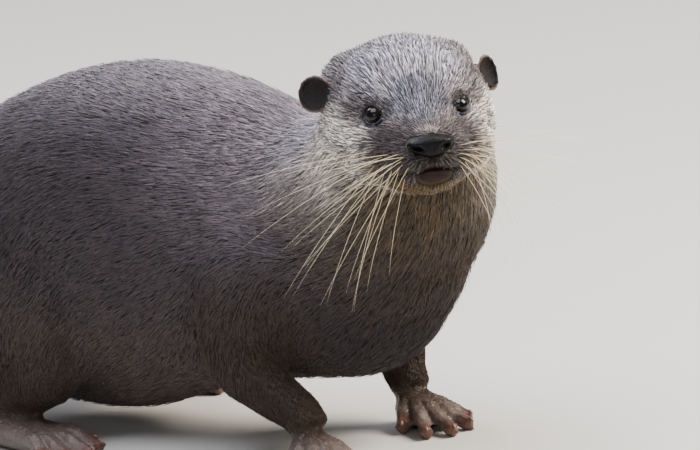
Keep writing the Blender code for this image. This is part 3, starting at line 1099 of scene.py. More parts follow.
@dataclass
class Skin:
    """One closed skin over every flesh node, set in by the coat's depth and sculpted where it shows bare."""

    voxel: float = 1.25
    swell: float = 0.42
    weld: float = 0.01
    organ_sink: float = -0.5
    trunk_rounds: int = 26
    thin_to: int = 80000
    thin_weight: float = 10.0
    face_centre: Triple = (52.0, 0.0, -20.0)
    face_reach: float = 40.0
    mouth_centre: Triple = (70.0, 0.0, -32.0)
    mouth_reach: float = 17.0
    lid_reach: float = 10.5
    margin_reach: float = 8.6
    whisker_pad: Swelling = Swelling(1.1, (66.0, 10.5, -26.5), (8.0, 7.5, 6.0))
    brow: Swelling = Swelling(0.8, (36.0, 16.0, 2.5), (7.0, 5.0, 3.2))
    mouth_level: float = -33.0
    mouth_depth: float = 1.8
    lip_place: Pair = (-35.2, 4.6)
    lip_half_width: float = 9.0
    nose_sink: float = 4.0
    # How far the hide is painted paler under the trunk's coat to lift shade, and darker between the head's
    # streaks as shade.
    gap_shade: float = 1.66
    foot_moisture: float = 0.9
    lip_moisture: float = 0.05
    under_coat_sink: float = 0.15
    floor_gap: float = 0.25
    name: str = "otter_skin"
    surface: Surface | None = None
    flesh: list[str] = field(default_factory=list)

    def build(self, material: Material) -> Object:
        """Makes the skin from the flesh nodes and dresses it.

        Args:
            material: The hide's finish.

        Returns:
            The skin, in place of all the flesh nodes.
        """
        starts = tuple(start for part in Part for start in part.value)
        self.flesh = sorted(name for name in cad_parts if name.startswith(starts))
        obj = self.gather()
        self.remesh(obj)
        surface = Surface.of_mesh(obj.data)
        surface.kinds = self.nearest_nodes(surface.points)
        surface.relax(self.by_part(surface, "smoothing"), self.trunk_rounds)
        write_points(obj.data, surface.points)
        self.thin(obj, surface)
        self.refine(obj)
        surface = Surface.of_mesh(obj.data)
        surface.kinds = self.nearest_nodes(surface.points)
        self.set_in(surface)
        self.sculpt(surface)
        surface.flow = Lie().field(surface)
        write_points(obj.data, surface.points)
        self.dress(obj, surface, material)
        self.surface = surface
        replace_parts(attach(obj, BODY), *self.flesh)
        return obj

    def sink(self, obj: Object) -> None:
        """Lowers the hide a little under the grown coat, so that no ripple of it shows between locks.

        Args:
            obj: The finished skin.
        """
        surface = self.surface
        furred = 1 - surface.bare
        depth = surface.eased(self.by_part(surface, "smoothing") * furred, 6) * self.under_coat_sink
        points = surface.points - surface.normals() * (depth * furred)[:, None]
        points[:, 2] = np.maximum(points[:, 2], self.floor_gap)
        write_points(obj.data, points)

    def gather(self) -> Object:
        """Joins merged copies of flesh, eyes and nose, with the flesh swollen to close the gaps.

        Returns:
            The joined object.
        """
        bm = bmesh.new()
        for name in [*self.flesh, "nose_pad", "eye_left", "eye_right"]:
            part = bmesh.new()
            part.from_mesh(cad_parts[name].data)
            bmesh.ops.remove_doubles(part, verts=part.verts, dist=self.weld * MM)
            part.normal_update()
            sink = self.organ_sink if name.startswith(("eye", "nose")) else self.swell
            for vert in part.verts:
                vert.co += vert.normal * sink * MM
            spare = bpy.data.meshes.new("spare")
            part.to_mesh(spare)
            part.free()
            bm.from_mesh(spare)
            bpy.data.meshes.remove(spare)
        mesh = bpy.data.meshes.new(self.name)
        bm.to_mesh(mesh)
        bm.free()
        return link_object(self.name, mesh)

    def remesh(self, obj: Object) -> None:
        """Runs the joined pieces together as one surface.

        Args:
            obj: The joined pieces.
        """
        modifier = obj.modifiers.new("one_skin", "REMESH")
        modifier.mode = "VOXEL"
        modifier.voxel_size = self.voxel * MM
        settle(obj)

    def nearest_nodes(self, points: Array) -> Array:
        """Names the CAD flesh node nearest to each point.

        Args:
            points: Where to look.

        Returns:
            One node's name for each point.
        """
        corners: list[Triple] = []
        faces: list[tuple[int, ...]] = []
        owners: list[str] = []
        for name in self.flesh:
            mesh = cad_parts[name].data
            first = len(corners)
            corners += [tuple(vert.co / MM) for vert in mesh.vertices]
            faces += [tuple(first + index for index in face.vertices) for face in mesh.polygons]
            owners += [name] * len(mesh.polygons)
        tree = BVHTree.FromPolygons(corners, faces)
        return np.array([owners[tree.find_nearest(point)[2]] for point in points.tolist()])

    def by_part(self, surface: Surface, size: str) -> Array:
        """Gives each vertex its region's value of one Pelt field.

        Args:
            surface: The skin.
            size: The field's name.

        Returns:
            One value for each vertex.
        """
        values = np.zeros(len(surface.points))
        for part, pelt in PELTS.items():
            values[starting(surface.kinds, part.value)] = getattr(pelt, size)
        return values

    def thin(self, obj: Object, surface: Surface) -> None:
        """Removes triangles from trunk, neck, legs and tail, and keeps those of head, ears and feet.

        Args:
            obj: The skin.
            surface: Its points and regions.
        """
        group = obj.vertex_groups.new(name="thinned")
        coarse = self.by_part(surface, "smoothing") >= 0.5
        group.add(np.flatnonzero(coarse).tolist(), 1.0, "REPLACE")
        modifier = obj.modifiers.new("thin", "DECIMATE")
        modifier.vertex_group = group.name
        modifier.vertex_group_factor = self.thin_weight
        modifier.ratio = self.thin_to / len(surface.triangles)
        settle(obj)
        obj.vertex_groups.clear()

    def refine(self, obj: Object) -> None:
        """Cuts the face's triangles finer, and those round eyes, mouth and nose finer still.

        Args:
            obj: The skin.
        """
        middle = Vector(HEAD.place(self.face_centre))
        eyes = [Vector(eye.centre) for eye in EYES]
        mouth = Vector(HEAD.place(self.mouth_centre))
        bm = bmesh.new()
        bm.from_mesh(obj.data)
        for reach, centres in (
            (self.face_reach, [middle]),
            (self.lid_reach, eyes),
            (self.mouth_reach, [mouth]),
            (self.margin_reach, eyes),
        ):
            cut = [
                edge
                for edge in bm.edges
                if any((vert.co / MM - centre).length < reach for vert in edge.verts for centre in centres)
            ]
            bmesh.ops.subdivide_edges(bm, edges=cut, cuts=1, use_grid_fill=True)
            bmesh.ops.triangulate(bm, faces=[face for face in bm.faces if len(face.verts) > 3])
        bm.to_mesh(obj.data)
        bm.free()

    def set_in(self, surface: Surface) -> None:
        """Moves the skin inwards by the coat's depth, eased from region to region.

        Args:
            surface: The skin, moved in place.
        """
        depth = surface.eased(self.by_part(surface, "depth"), 14) + self.swell
        local = HEAD.local(surface.points)
        thin_face = fade(30, 62, local[:, 0]) * fade(38, 30, np.abs(local[:, 1]))
        depth -= 0.55 * thin_face * (depth > 0.8) + 0.5 * fade(2.2, 2.9, depth)
        surface.points -= surface.normals() * depth[:, None]
        surface.relax(self.by_part(surface, "smoothing") * 0.6, 3)
        surface.points[:, 2] = np.maximum(surface.points[:, 2], self.floor_gap)

    def sculpt(self, surface: Surface) -> None:
        """Forms lids, brow, whisker pads, lips, ear cups and toes on the finer parts of the skin.

        Args:
            surface: The skin, moved in place.
        """
        normals = surface.normals()
        local = HEAD.local(surface.points)
        is_head = starting(surface.kinds, Part.HEAD.value)
        surface.points += normals * (self.muzzle_relief(local) * is_head)[:, None]
        self.bed_nose(surface)
        self.cup_ears(surface, normals)
        self.crease_feet(surface, normals)
        for eye in EYES:
            eye.form_lids(surface)
        surface.bare = self.bare_places(surface)

    def muzzle_relief(self, local: Array) -> Array:
        """Shapes muzzle and mouth.

        Args:
            local: Points in the head's frame.

        Returns:
            How far each point moves outwards.
        """
        x, y, z = local.T
        front = fade(26, 44, x)
        line = self.mouth_line(x, y)
        middle = fade(17, 9, np.abs(y))
        slit = -self.mouth_depth * np.exp(-(((z - line) / 0.8) ** 2)) * front * (0.25 + 0.75 * middle)
        upper_lip = 0.6 * np.exp(-(((z - line - 2.4) / 1.7) ** 2)) * front * (0.4 + 0.6 * middle)
        lower_lip = 0.7 * np.exp(-(((z - line + 3.2) / 2.2) ** 2)) * front * fade(16, 8, np.abs(y))
        philtrum = -1.0 * np.exp(-((y / 0.8) ** 2)) * fade(64, 70, x) * fade(-35, -31, z)
        philtrum *= fade(-22, -27, z)
        lips = slit + upper_lip + lower_lip + philtrum
        return lips + self.whisker_pad.relief(x, y, z) + self.brow.relief(x, y, z)

    def bed_nose(self, surface: Surface) -> None:
        """Draws the muzzle's end back behind the nose leather, so that nothing shows through it.

        Args:
            surface: The skin, moved in place.
        """
        local = HEAD.local(surface.points)
        measure = NOSE.measure(local)
        behind = NOSE.centre[0] - self.nose_sink
        share = fade(1.04, 0.90, measure)
        local[:, 0] -= np.maximum(local[:, 0] - behind, 0) * share
        moved = share > 0
        surface.points[moved] = HEAD.place(local[moved])

    def mouth_line(self, x: Array, y: Array) -> Array:
        """Height of the mouth in the head's frame: level in front, dipping at the cheeks."""
        return self.mouth_level + 0.5 * np.cos(y / 4.5) - 2.6 * fade(58, 30, x)

    def cup_ears(self, surface: Surface, normals: Array) -> None:
        """Hollows each ear's front and leaves a rounded rim.

        Args:
            surface: The skin, moved in place.
            normals: Its outward directions.
        """
        surface.ear_cup = np.zeros(len(surface.points))
        for ear in EARS:
            ear.turn_about(surface)
            share = ear.cup(surface)
            surface.points -= normals * (share * ear.cup_depth)[:, None]
            surface.ear_cup = np.maximum(surface.ear_cup, share)

    def crease_feet(self, surface: Surface, normals: Array) -> None:
        """Parts the toes and wrinkles the skin across knuckles and wrists.

        Args:
            surface: The skin, moved in place.
            normals: Its outward directions.
        """
        for foot in FEET:
            here = np.flatnonzero(surface.kinds == foot.node)
            surface.points[here] += normals[here] * foot.relief(surface.points[here], normals[here])[:, None]
        surface.points[:, 2] = np.maximum(surface.points[:, 2], self.floor_gap)

    def bare_places(self, surface: Surface) -> Array:
        """Marks where no coat grows: feet, lips, nose bed, ear cups and within the lids.

        Args:
            surface: The sculpted skin.

        Returns:
            1 on bare places and 0 under the coat.
        """
        local = HEAD.local(surface.points)
        is_head = starting(surface.kinds, Part.HEAD.value)
        feet = starting(surface.kinds, Part.FOOT.value)
        lips = fade(0.35, 0.75, self.lip_share(local)) * is_head
        bed = fade(1.02, 0.92, NOSE.measure(local)) * is_head
        fronts = np.maximum.reduce([ear.front(surface) for ear in EARS])
        bare = np.maximum.reduce([lips, bed, feet.astype(float), surface.ear_cup, fronts])
        for eye in EYES:
            measure, _ = eye.aperture(surface.points)
            bare = np.maximum(bare, fade(1.24, 1.12, measure) * eye.within(surface.points, 2))
        return bare

    def lip_share(self, local: Array) -> Array:
        """Marks the bare lips in front: 1 in their middle, fading to 0 round an oval.

        Args:
            local: Points in the head's frame.

        Returns:
            A share between 0 and 1 for each point.
        """
        x, y, z = local.T
        middle, half_height = self.lip_place
        away = np.sqrt((y / self.lip_half_width) ** 2 + ((z - middle) / half_height) ** 2)
        cleft = np.sqrt((y / 4.0) ** 2 + ((z + 31.0) / 2.0) ** 2)
        return np.maximum(fade(1.25, 0.65, away), fade(1.3, 0.7, cleft)) * fade(54, 62, x)

    def dress(self, obj: Object, surface: Surface, material: Material) -> None:
        """Colours the skin and gives it its material.

        Args:
            obj: The skin's object.
            surface: Its arrays.
            material: The hide's finish.
        """
        mesh = obj.data
        marking = surface.eased(MARKINGS.colours(surface.points, surface.normals(), surface.kinds), 5)
        surface.marking = marking.copy()
        # Painted light and shade: under the trunk's coat the hide is made paler to lift the shade in the
        # holes between locks, and between the head's streaks it is made dark as painted shade in the
        # grooves.
        gaps = surface.eased(self.by_part(surface, "contrast"), 8)
        marking *= (1 + (1.0 - self.gap_shade * gaps) * (1 - surface.bare))[:, None]
        x, y, z = HEAD.local(surface.points).T
        line = self.mouth_line(x, y)
        head = starting(surface.kinds, Part.HEAD.value)
        feet = starting(surface.kinds, Part.FOOT.value)
        lips = head * self.lip_share(HEAD.local(surface.points))
        claws = np.array([centre_of(name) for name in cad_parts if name.startswith("claw_")])
        to_claw = np.full(len(surface.points), np.inf)
        to_claw[feet] = np.linalg.norm(surface.points[feet][:, None] - claws[None], axis=2).min(axis=1)
        slit = np.exp(-(((z - line) / 1.1) ** 2)) * fade(50, 62, x) * fade(13, 6, np.abs(y))
        paint(marking, MARKINGS.lip, lips)
        paint(marking, MARKINGS.gum, lips * fade(line + 0.5, line + 2.0, z))
        # Painted shade: near black along the parting of the lips, where shade falls in the slit.
        paint(marking, MARKINGS.mouth_slit_shade, head * (slit * 0.9))
        paint(marking, MARKINGS.ear_rim, np.maximum.reduce([ear.front(surface) for ear in EARS]))
        paint(marking, MARKINGS.ear_cup, fade(0.05, 0.6, surface.ear_cup))
        paint(marking, MARKINGS.toe, fade(8.0, 4.0, to_claw) * 0.8)
        moist = self.foot_moisture * feet + self.lip_moisture * lips
        for eye in EYES:
            measure, up = eye.aperture(surface.points)
            near = eye.within(surface.points, 2)
            wet = near * fade(1.15, 1.07, measure) * fade(0.8, -1.6, up)
            paint(marking, MARKINGS.lid, near * fade(1.34, 1.16, measure))
            # Painted reflection: a pale blue-grey crescent on the lower lid's moist rim, marked by the mask
            # above, stands in for the sky reflected there.
            paint(marking, MARKINGS.lid_reflection, 0.8 * wet)
            moist += eye.within(surface.points, 1.3) * surface.bare
        colour_attribute(mesh, "marking", marking)
        masks = np.stack([surface.bare, moist, np.zeros_like(moist)], axis=1)
        colour_attribute(mesh, "bare", np.clip(masks, 0, 1))
        mesh.shade_smooth()
        mesh.materials.clear()
        mesh.materials.append(material)


@dataclass(frozen=True)
class Ear:
    """One small round ear, its cup open forwards and outwards."""

    side: str
    face: Triple = (0.74, 0.64, 0.16)
    half_size: float = 9.4
    cup_share: float = 0.84
    cup_depth: float = 1.3
    bare_from: Pair = (-2.8, -1.6)
    cup_from: Pair = (-2.6, -1.5)
    widen: float = 1.0
    shift: Triple = (0.0, 0.0, 0.0)

    @property
    def axes(self) -> Array:
        """Rows: out of the cup, across it and up it.

        Returns:
            A turn of 3 by 3.
        """
        facing = unit(HEAD.turn((self.face[0], SIDES[self.side] * self.face[1], self.face[2])))
        across = unit(np.cross(HEAD.turn((0, 0, 1)), facing))
        return np.array([facing, across, np.cross(facing, across)])

    @property
    def centre(self) -> Array:
        """The middle of the ear's CAD node."""
        return centre_of(f"ear_{self.side}")

    def flap(self, surface: Surface) -> Array:
        """Tells which points of the skin are this ear's."""
        return surface.kinds == f"ear_{self.side}"

    def local(self, surface: Surface) -> Array:
        """Gives the skin's points along the axes of the ear where it now stands."""
        return (surface.points - self.centre - HEAD.turn(self.shift)) @ self.axes.T

    def turn_about(self, surface: Surface) -> None:
        """Widens or narrows the flap and moves it a little, as each ear is cocked in its own way.

        Args:
            surface: The skin, moved in place.
        """
        here = self.flap(surface)
        place = (surface.points[here] - self.centre) @ self.axes.T
        place[:, 1] *= self.widen
        surface.points[here] = place @ self.axes + self.centre + HEAD.turn(self.shift)

    def front(self, surface: Surface) -> Array:
        """Marks the flap's open side, which has no coat."""
        return fade(*self.bare_from, self.local(surface)[:, 0]) * self.flap(surface)

    def cup(self, surface: Surface) -> Array:
        """Tells how far inside the cup each point of the skin lies.

        Args:
            surface: The skin.

        Returns:
            1 in the cup's middle, 0 at its rim and elsewhere.
        """
        out, across, up = self.local(surface).T
        away = np.sqrt((across / self.widen) ** 2 + up**2) / self.half_size
        inside = fade(self.cup_share + 0.12, self.cup_share - 0.10, away)
        return inside * fade(*self.cup_from, out) * self.flap(surface)


EARS = [
    Ear("left", widen=0.80, shift=(0.0, -1.0, -1.1)),
    Ear("right", widen=1.20, shift=(0.0, 0.4, 0.0)),
]


# ---------- feet and claws


@dataclass(frozen=True)
class Foot:
    """One foot: five toes parted by grooves, with knuckles, and a small blunt claw on each."""

    limb: str
    side: str
    groove_depth: float = 1.5
    groove_width: float = 1.5
    knuckle_height: float = 0.55
    knuckle_length: float = 2.2
    knuckles: tuple[float, ...] = (-7.5, -16.0, -26.0)
    ridge_width: float = 2.6
    fold_height: float = 0.09
    claw_half: Triple = (1.7, 1.0, 0.8)
    claw_taper: float = 0.34
    claw_hook: float = 0.35
    claw_set_in: float = 0.5

    @property
    def node(self) -> str:
        """The foot's CAD node."""
        return f"{self.limb}foot_{self.side}"

    @property
    def claws(self) -> list[str]:
        """The CAD nodes of its claws."""
        return [f"claw_{self.limb}_{self.side}_{number}" for number in range(1, 6)]

    def toes(self) -> tuple[Array, Array]:
        """Finds where the toes end and which way they point, from the claws' solids.

        Returns:
            The toes' ends and their directions.
        """
        tips, aims = [], []
        for name in self.claws:
            corners = np.array([vert.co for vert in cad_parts[name].data.vertices]) / MM
            tips.append(corners.mean(axis=0))
            aim = np.linalg.svd(corners - tips[-1])[2][0]
            aims.append(aim * np.sign(aim @ (tips[-1] - centre_of(self.node))))
        return np.array(tips), unit(np.array(aims))

    def relief(self, points: Array, normals: Array) -> Array:
        """Works out the grooves between the toes and the swell of their knuckles.

        Args:
            points: The foot's skin.
            normals: Outward directions there.

        Returns:
            How far each point moves outwards.
        """
        tips, aims = self.toes()
        level = unit(aims[:, :2])
        away = points[:, None, :2] - tips[None, :, :2]
        along = np.einsum("ijk,jk->ij", away, level)
        aside = np.abs(away[..., 0] * level[:, 1] - away[..., 1] * level[:, 0])
        order = np.argsort(aside, axis=1)
        first, second = (np.take_along_axis(aside, order[:, place : place + 1], 1)[:, 0] for place in (0, 1))
        run = np.take_along_axis(along, order[:, :1], 1)[:, 0]
        top = fade(-0.3, 0.4, normals[:, 2])
        apart = np.exp(-(((second - first) / self.groove_width) ** 2)) * fade(4.0, 7.5, first + second)
        knuckles = sum(np.exp(-(((run - place) / self.knuckle_length) ** 2)) for place in self.knuckles)
        ridge = np.exp(-((first / self.ridge_width) ** 2))
        folds = self.fold_height * np.sin(run * 3.1 + 0.6 * np.sin(points[:, 1])) * ridge
        return (self.knuckle_height * knuckles * ridge - self.groove_depth * apart) * top + folds

    def build(self, material: Material) -> Object:
        """Models the foot's claws as one piece of small, slightly hooked cones.

        Args:
            material: The horn.

        Returns:
            The claws, in place of their CAD nodes.
        """
        bm = bmesh.new()
        long, wide, high = self.claw_half
        for tip, aim in zip(*self.toes()):
            ahead = Vector(aim)
            across = Vector((0, 0, 1)).cross(ahead).normalized()
            upright = ahead.cross(across)
            made = bmesh.ops.create_uvsphere(bm, u_segments=14, v_segments=10, radius=1.0)["verts"]
            for vert in made:
                share = vert.co.z
                slim = 0.78 - self.claw_taper * share
                place = ahead * (share * long) + across * (vert.co.x * wide * slim)
                place += upright * (vert.co.y * high * slim - self.claw_hook * max(0.0, share) ** 2)
                vert.co = Vector(tip) + place - ahead * self.claw_set_in - upright * self.claw_set_in
        piece = object_of(f"claws_{self.limb}_{self.side}", bm, material)
        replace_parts(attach(piece, BODY), *self.claws)
        return piece


FEET = [Foot(limb, side) for limb in ("fore", "hind") for side in SIDES]


# ---------- the lie of the coat


@dataclass(frozen=True)
class Lie:
    """Which way the coat lies: back from the nose, down the neck, along the body and down each leg."""

    nose: Triple = (80.0, 0.0, -20.0)
    rounds: int = 16
    level_at: Pair = (110.0, 125.0)
    arch: Pair = (95.0, 60.0)
    steepest: Pair = (-0.6, 1.2)
    belly_slope: float = -0.34
    chest_slope: float = -0.8
    runs: tuple[tuple[str, Triple], ...] = (
        ("neck", (-0.70, 0.0, -0.60)),
        ("tail_upper", (-0.90, 0.05, -0.42)),
        ("tail_middle", (-0.90, 0.18, -0.30)),
        ("tail_tip", (-0.95, 0.30, 0.0)),
        ("foreleg", (-0.25, 0.0, -0.95)),
        ("hindleg", (-0.42, 0.0, -0.90)),
        ("forefoot", (0.90, -0.35, -0.30)),
        ("hindfoot", (0.98, 0.0, -0.20)),
    )

    def arched(self, points: Array) -> Array:
        """Runs the lie up over the withers, level along the back and down over the rump.

        Args:
            points: The skin's points.

        Returns:
            One direction for each point.
        """
        ahead, _, height = points.T
        climb = (ahead - self.level_at[0]) / self.arch[0] + (height - self.level_at[1]) / self.arch[1]
        low = fade(95, 50, height)
        climb = np.clip(climb, *self.steepest) * (1 - low) + self.belly_slope * low
        climb += (self.chest_slope - climb) * fade(225, 250, ahead)
        return unit(np.stack([-np.ones_like(climb), np.zeros_like(climb), climb], axis=1))

    def field(self, surface: Surface) -> Array:
        """Works out the lie at each vertex.

        Args:
            surface: The skin.

        Returns:
            Unit directions in the surface.
        """
        normals = surface.normals()
        wanted = unit(surface.points - HEAD.place(self.nose))
        for start, run in self.runs:
            wanted[np.char.startswith(surface.kinds, start)] = unit(np.array(run))
        trunk = starting(surface.kinds, Part.TRUNK.value)
        wanted[trunk] = self.arched(surface.points[trunk])
        back = fade(0.55, 0.9, normals[:, 2])[:, None] * (surface.kinds == "neck")[:, None]
        wanted += (np.array((-1.0, 0.0, -0.1)) - wanted) * back
        flow = wanted
        for _ in range(self.rounds):
            flow = flow - normals * np.sum(flow * normals, axis=1, keepdims=True)
            flow = unit(0.4 * unit(flow) + 0.6 * surface.averaged(unit(flow)))
        return unit(flow - normals * np.sum(flow * normals, axis=1, keepdims=True))


# ---------- the coat


@dataclass(frozen=True)
class Patch:
    """One piece of the coat: the nodes it grows over, and which side of the middle, if it is halved."""

    name: str
    starts: tuple[str, ...]
    side: float = 0.0


def halves(name: str, *starts: str) -> list[Patch]:
    """Splits a patch of coat into a left and a right piece."""
    return [Patch(f"coat_{name}_{side}", starts, out) for side, out in SIDES.items()]


PATCHES = [
    *halves("head", "head"),
    Patch("coat_jaw", ("jaw",)),
    Patch("coat_ears", ("ear",)),
    *halves("neck", "neck"),
    *halves("chest", "chest"),
    *halves("belly", "belly"),
    *halves("rump", "rump"),
    Patch("coat_tail", ("tail",)),
    Patch("coat_forelegs", ("foreleg", "forefoot")),
    Patch("coat_hindlegs", ("hindleg", "hindfoot")),
]


@dataclass
class Coat:
    """Solid, pointed locks that lie along the skin's flow and overlap like shingles."""

    skin: Skin
    seed: int = 7
    ease: int = 14
    sway_ease: int = 30
    length_play: Pair = (0.72, 1.22)
    width_play: Pair = (0.7, 1.3)
    rise_play: Pair = (0.6, 1.0)
    pull_play: Pair = (0.45, 1.0)
    foot_cover: float = 1.7
    foot_height: Pair = (9.0, 18.0)
    ring_share: float = 0.36
    ring_lift: float = 0.42
    root_sink: float = 0.45
    roof: float = 0.36
    sway: float = 0.15
    jitter: float = 0.06
    fan_centre: Triple = (76.0, 0.0, -20.0)
    fan_rings: tuple[float, ...] = (14.0, 24.0, 38.0)
    fan_radii: tuple[float, ...] = (10.0, 18.0, 28.0, 38.0)
    streak_width: float = 0.68
    streak_length: float = 6.0
    streak_wander: float = 0.8
    clump_reach: Pair = (9.0, 5.0)
    clump_pull: float = 0.95
    clump_share: float = 0.45
    stripe: float = 0.75
    stray_share: float = 0.05
    stray_lift: float = 1.9
    shade_limits: Pair = (0.3, 2.9)
    map_patch: float = 0.003
    floor_gap: float = 0.3
    tree: BVHTree | None = None
    fields: dict[str, Array] = field(default_factory=dict)

    def build(self, material: Material) -> list[Object]:
        """Grows every piece of the coat.

        Args:
            material: The hair's finish.

        Returns:
            The pieces.
        """
        surface = self.skin.surface
        self.tree = surface.tree()
        for size in ("length", "width", "depth", "cover", "contrast"):
            self.fields[size] = surface.eased(self.skin.by_part(surface, size), self.ease)
        scale = self.face_scale(surface.points) * self.leg_scale(surface)
        for size, power in (("length", 1.0), ("width", 0.5), ("depth", 1.0)):
            self.fields[size] = self.fields[size] * scale**power
        rng = np.random.default_rng(self.seed)
        sway = surface.eased(rng.normal(0, 1, len(surface.points)), self.sway_ease)
        self.fields["sway"] = self.sway * sway / max(1e-9, sway.std())
        return [self.grow(patch, rng, material) for patch in PATCHES]

    @staticmethod
    def face_scale(points: Array) -> Array:
        """Shortens the locks towards nose, eyes and ears.

        Args:
            points: The skin's points.

        Returns:
            Each point's share of the full length.
        """
        local = HEAD.local(points)
        from_nose = np.linalg.norm(local - np.array((76.0, 0.0, -22.0)), axis=1)
        scale = 0.36 + 0.64 * fade(4, 58, from_nose)
        for eye in EYES:
            away = np.linalg.norm(points - eye.centre, axis=1)
            scale = np.minimum(scale, 0.34 + 0.66 * fade(5, 17, away))
        for ear in EARS:
            away = np.linalg.norm(points - ear.centre, axis=1)
            scale = np.minimum(scale, 0.38 + 0.62 * fade(8, 17, away))
        return scale

    def leg_scale(self, surface: Surface) -> Array:
        """Shortens the locks down the legs towards wrist and ankle."""
        shorter = 0.36 + 0.64 * fade(20, 52, surface.points[:, 2])
        return surface.eased(np.where(starting(surface.kinds, Part.LEG.value), shorter, 1.0), self.ease)

    def faces_of(self, patch: Patch) -> Array:
        """Finds the skin triangles that a piece grows on.

        Args:
            patch: The piece.

        Returns:
            The triangles' numbers.
        """
        surface = self.skin.surface
        here = starting(surface.kinds[surface.triangles[:, 0]], patch.starts)
        if patch.side:
            middles = surface.points[surface.triangles].mean(axis=1)
            across = HEAD.local(middles)[:, 1] if patch.starts == ("head",) else middles[:, 1]
            here &= (across * patch.side) > 0
        return np.flatnonzero(here)

    def scatter(self, faces: Array, rng: Chance) -> dict[str, Array]:
        """Picks the locks' roots and reads the skin's values there.

        Args:
            faces: Triangles that may hold roots.
            rng: The source of chance.

        Returns:
            Root points and everything that a lock needs, by name.
        """
        surface = self.skin.surface
        triangles = surface.triangles[faces]
        corners = surface.points[triangles]
        across = np.cross(corners[:, 1] - corners[:, 0], corners[:, 2] - corners[:, 0])
        area = 0.5 * np.linalg.norm(across, axis=1)
        mean = {size: values[triangles].mean(axis=1) for size, values in self.fields.items()}
        hairless = surface.bare[triangles].mean(axis=1)
        wanted = area * mean["cover"] / (0.5 * mean["length"] * mean["width"])
        wanted = wanted * fade(0.62, 0.38, hairless)
        normals = surface.normals()
        # Feet have only a thin cover of short hair, on top and towards the ankle.
        feet = starting(surface.kinds[triangles[:, 0]], Part.FOOT.value)
        height = corners[:, 0, 2]
        top = np.maximum(fade(0.0, 0.5, normals[triangles[:, 0], 2]), fade(13, 18, height))
        on_foot = area * self.foot_cover * top * fade(*self.foot_height, height)
        wanted = np.where(feet, on_foot, wanted)
        picks = rng.choice(len(faces), int(wanted.sum()), p=wanted / wanted.sum())
        mix = rng.random((len(picks), 2))
        spread = np.sqrt(mix[:, 0])
        shares = np.stack([1 - spread, spread * (1 - mix[:, 1]), spread * mix[:, 1]], axis=1)

        def at_root(values: Array) -> Array:
            """Mixes a vertex field at the roots."""
            return np.einsum("ij,ij...->i...", shares, values[triangles[picks]])

        found = {size: at_root(values) for size, values in self.fields.items()}
        found["root"] = at_root(surface.points)
        found["normal"] = unit(at_root(normals))
        found["flow"] = at_root(surface.flow)
        found["marking"] = at_root(surface.marking)
        found["kind"] = surface.kinds[triangles[picks, 0]]
        return found

    def grow(self, patch: Patch, rng: Chance, material: Material) -> Object:
        """Grows one piece of the coat.

        Args:
            patch: Where it grows.
            rng: The source of chance.
            material: The hair's finish.

        Returns:
            The piece.
        """
        lock = self.scatter(self.faces_of(patch), rng)
        count = len(lock["root"])
        normal = lock["normal"]
        swing = lock["sway"] + rng.normal(0, self.jitter, count)
        flow = unit(lock["flow"] - normal * np.sum(lock["flow"] * normal, axis=1, keepdims=True))
        side = np.cross(normal, flow)
        flow = flow * np.cos(swing)[:, None] + side * np.sin(swing)[:, None]
        length = lock["length"] * rng.uniform(*self.length_play, count)
        width = lock["width"] * rng.uniform(*self.width_play, count)
        rise = lock["depth"] * rng.uniform(*self.rise_play, count)
        rise *= np.where(rng.random(count) < self.stray_share, self.stray_lift, 1.0)
        tip = lock["root"] + flow * length[:, None]
        # Tips in one streak are drawn together across the lie, as damp guard hair clumps.
        leaders, stripe = self.leaders(lock["root"], lock["kind"], rng)
        drawn = tip[leaders] - tip
        drawn *= fade(*self.clump_reach, np.linalg.norm(drawn, axis=1))[:, None]
        drawn -= flow * (0.8 * np.sum(drawn * flow, axis=1))[:, None]
        pull = self.clump_pull * np.clip(lock["contrast"], 0.2, 1.0) * rng.uniform(*self.pull_play, count)
        tip = self.laid(tip + drawn * pull[:, None], rise)
        # A lock's shade is partly its own, partly its clump's, and streaks alternate on top of that.
        own = rng.normal(0, 1, count)
        share = self.clump_share
        shade = np.exp(lock["contrast"] * (own * (1 - share) + own[leaders] * share + stripe * self.stripe))
        along = tip - lock["root"]
        middle = lock["root"] + along * self.ring_share + normal * (self.ring_lift * rise)[:, None]
        along = unit(along)
        side = unit(np.cross(normal, along)) * (width / 2)[:, None]
        ridge = unit(np.cross(along, side)) * (width * self.roof)[:, None]
        root = lock["root"] - normal * self.root_sink
        points = np.stack([root, middle + side, middle + ridge, middle - side, tip], axis=1)
        points[:, :, 2] = np.maximum(points[:, :, 2], self.floor_gap)
        piece = self.mesh_of(patch.name, points, material)
        # Where light and dark play more, the locks are darker towards the root.
        rows = np.zeros((count, 5, 3))
        lit = 0.74 - 0.70 * lock["contrast"]
        dark = np.clip(0.62 - 0.66 * lock["contrast"], 0, 1)
        rows[:, :, 0] = np.stack([dark, lit, lit + 0.06, lit, np.ones(count)], axis=1)
        rows[:, :, 1] = (np.clip(shade, *self.shade_limits) / CoatFinish.strength_range)[:, None]
        colour_attribute(piece.data, "lock", rows.reshape(-1, 3))
        colour_attribute(piece.data, "marking", np.repeat(lock["marking"], 5, axis=0))
        self.unwrap(piece.data, lock["root"], lock["kind"])
        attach(piece, BODY)
        log.info("%s: %d locks, %d triangles", patch.name, count, count * 6)
        return piece

    def leaders(self, roots: Array, kinds: Array, rng: Chance) -> tuple[Array, Array]:
        """Shares the locks out among narrow streaks that run with the lie, and picks a leader in each.

        Args:
            roots: The locks' roots.
            kinds: The CAD node under each root.
            rng: The source of chance.

        Returns:
            The number of each lock's leader, and 1 or -1 as streaks alternate between light and dark.
        """
        across, along = self.combed(roots, kinds)
        across = across + self.streak_wander * np.sin(along / 7 + 2 * np.sin(across / 9))
        lane = np.floor(across / self.streak_width).astype(int)
        lane -= lane.min()
        start = rng.random(lane.max() + 1)
        step = np.floor(along / self.streak_length + start[lane]).astype(int)
        streak = lane * (step.max() - step.min() + 1) + step
        _, first, group = np.unique(streak, return_index=True, return_inverse=True)
        return first[group], 1.0 - 2.0 * (lane % 2)

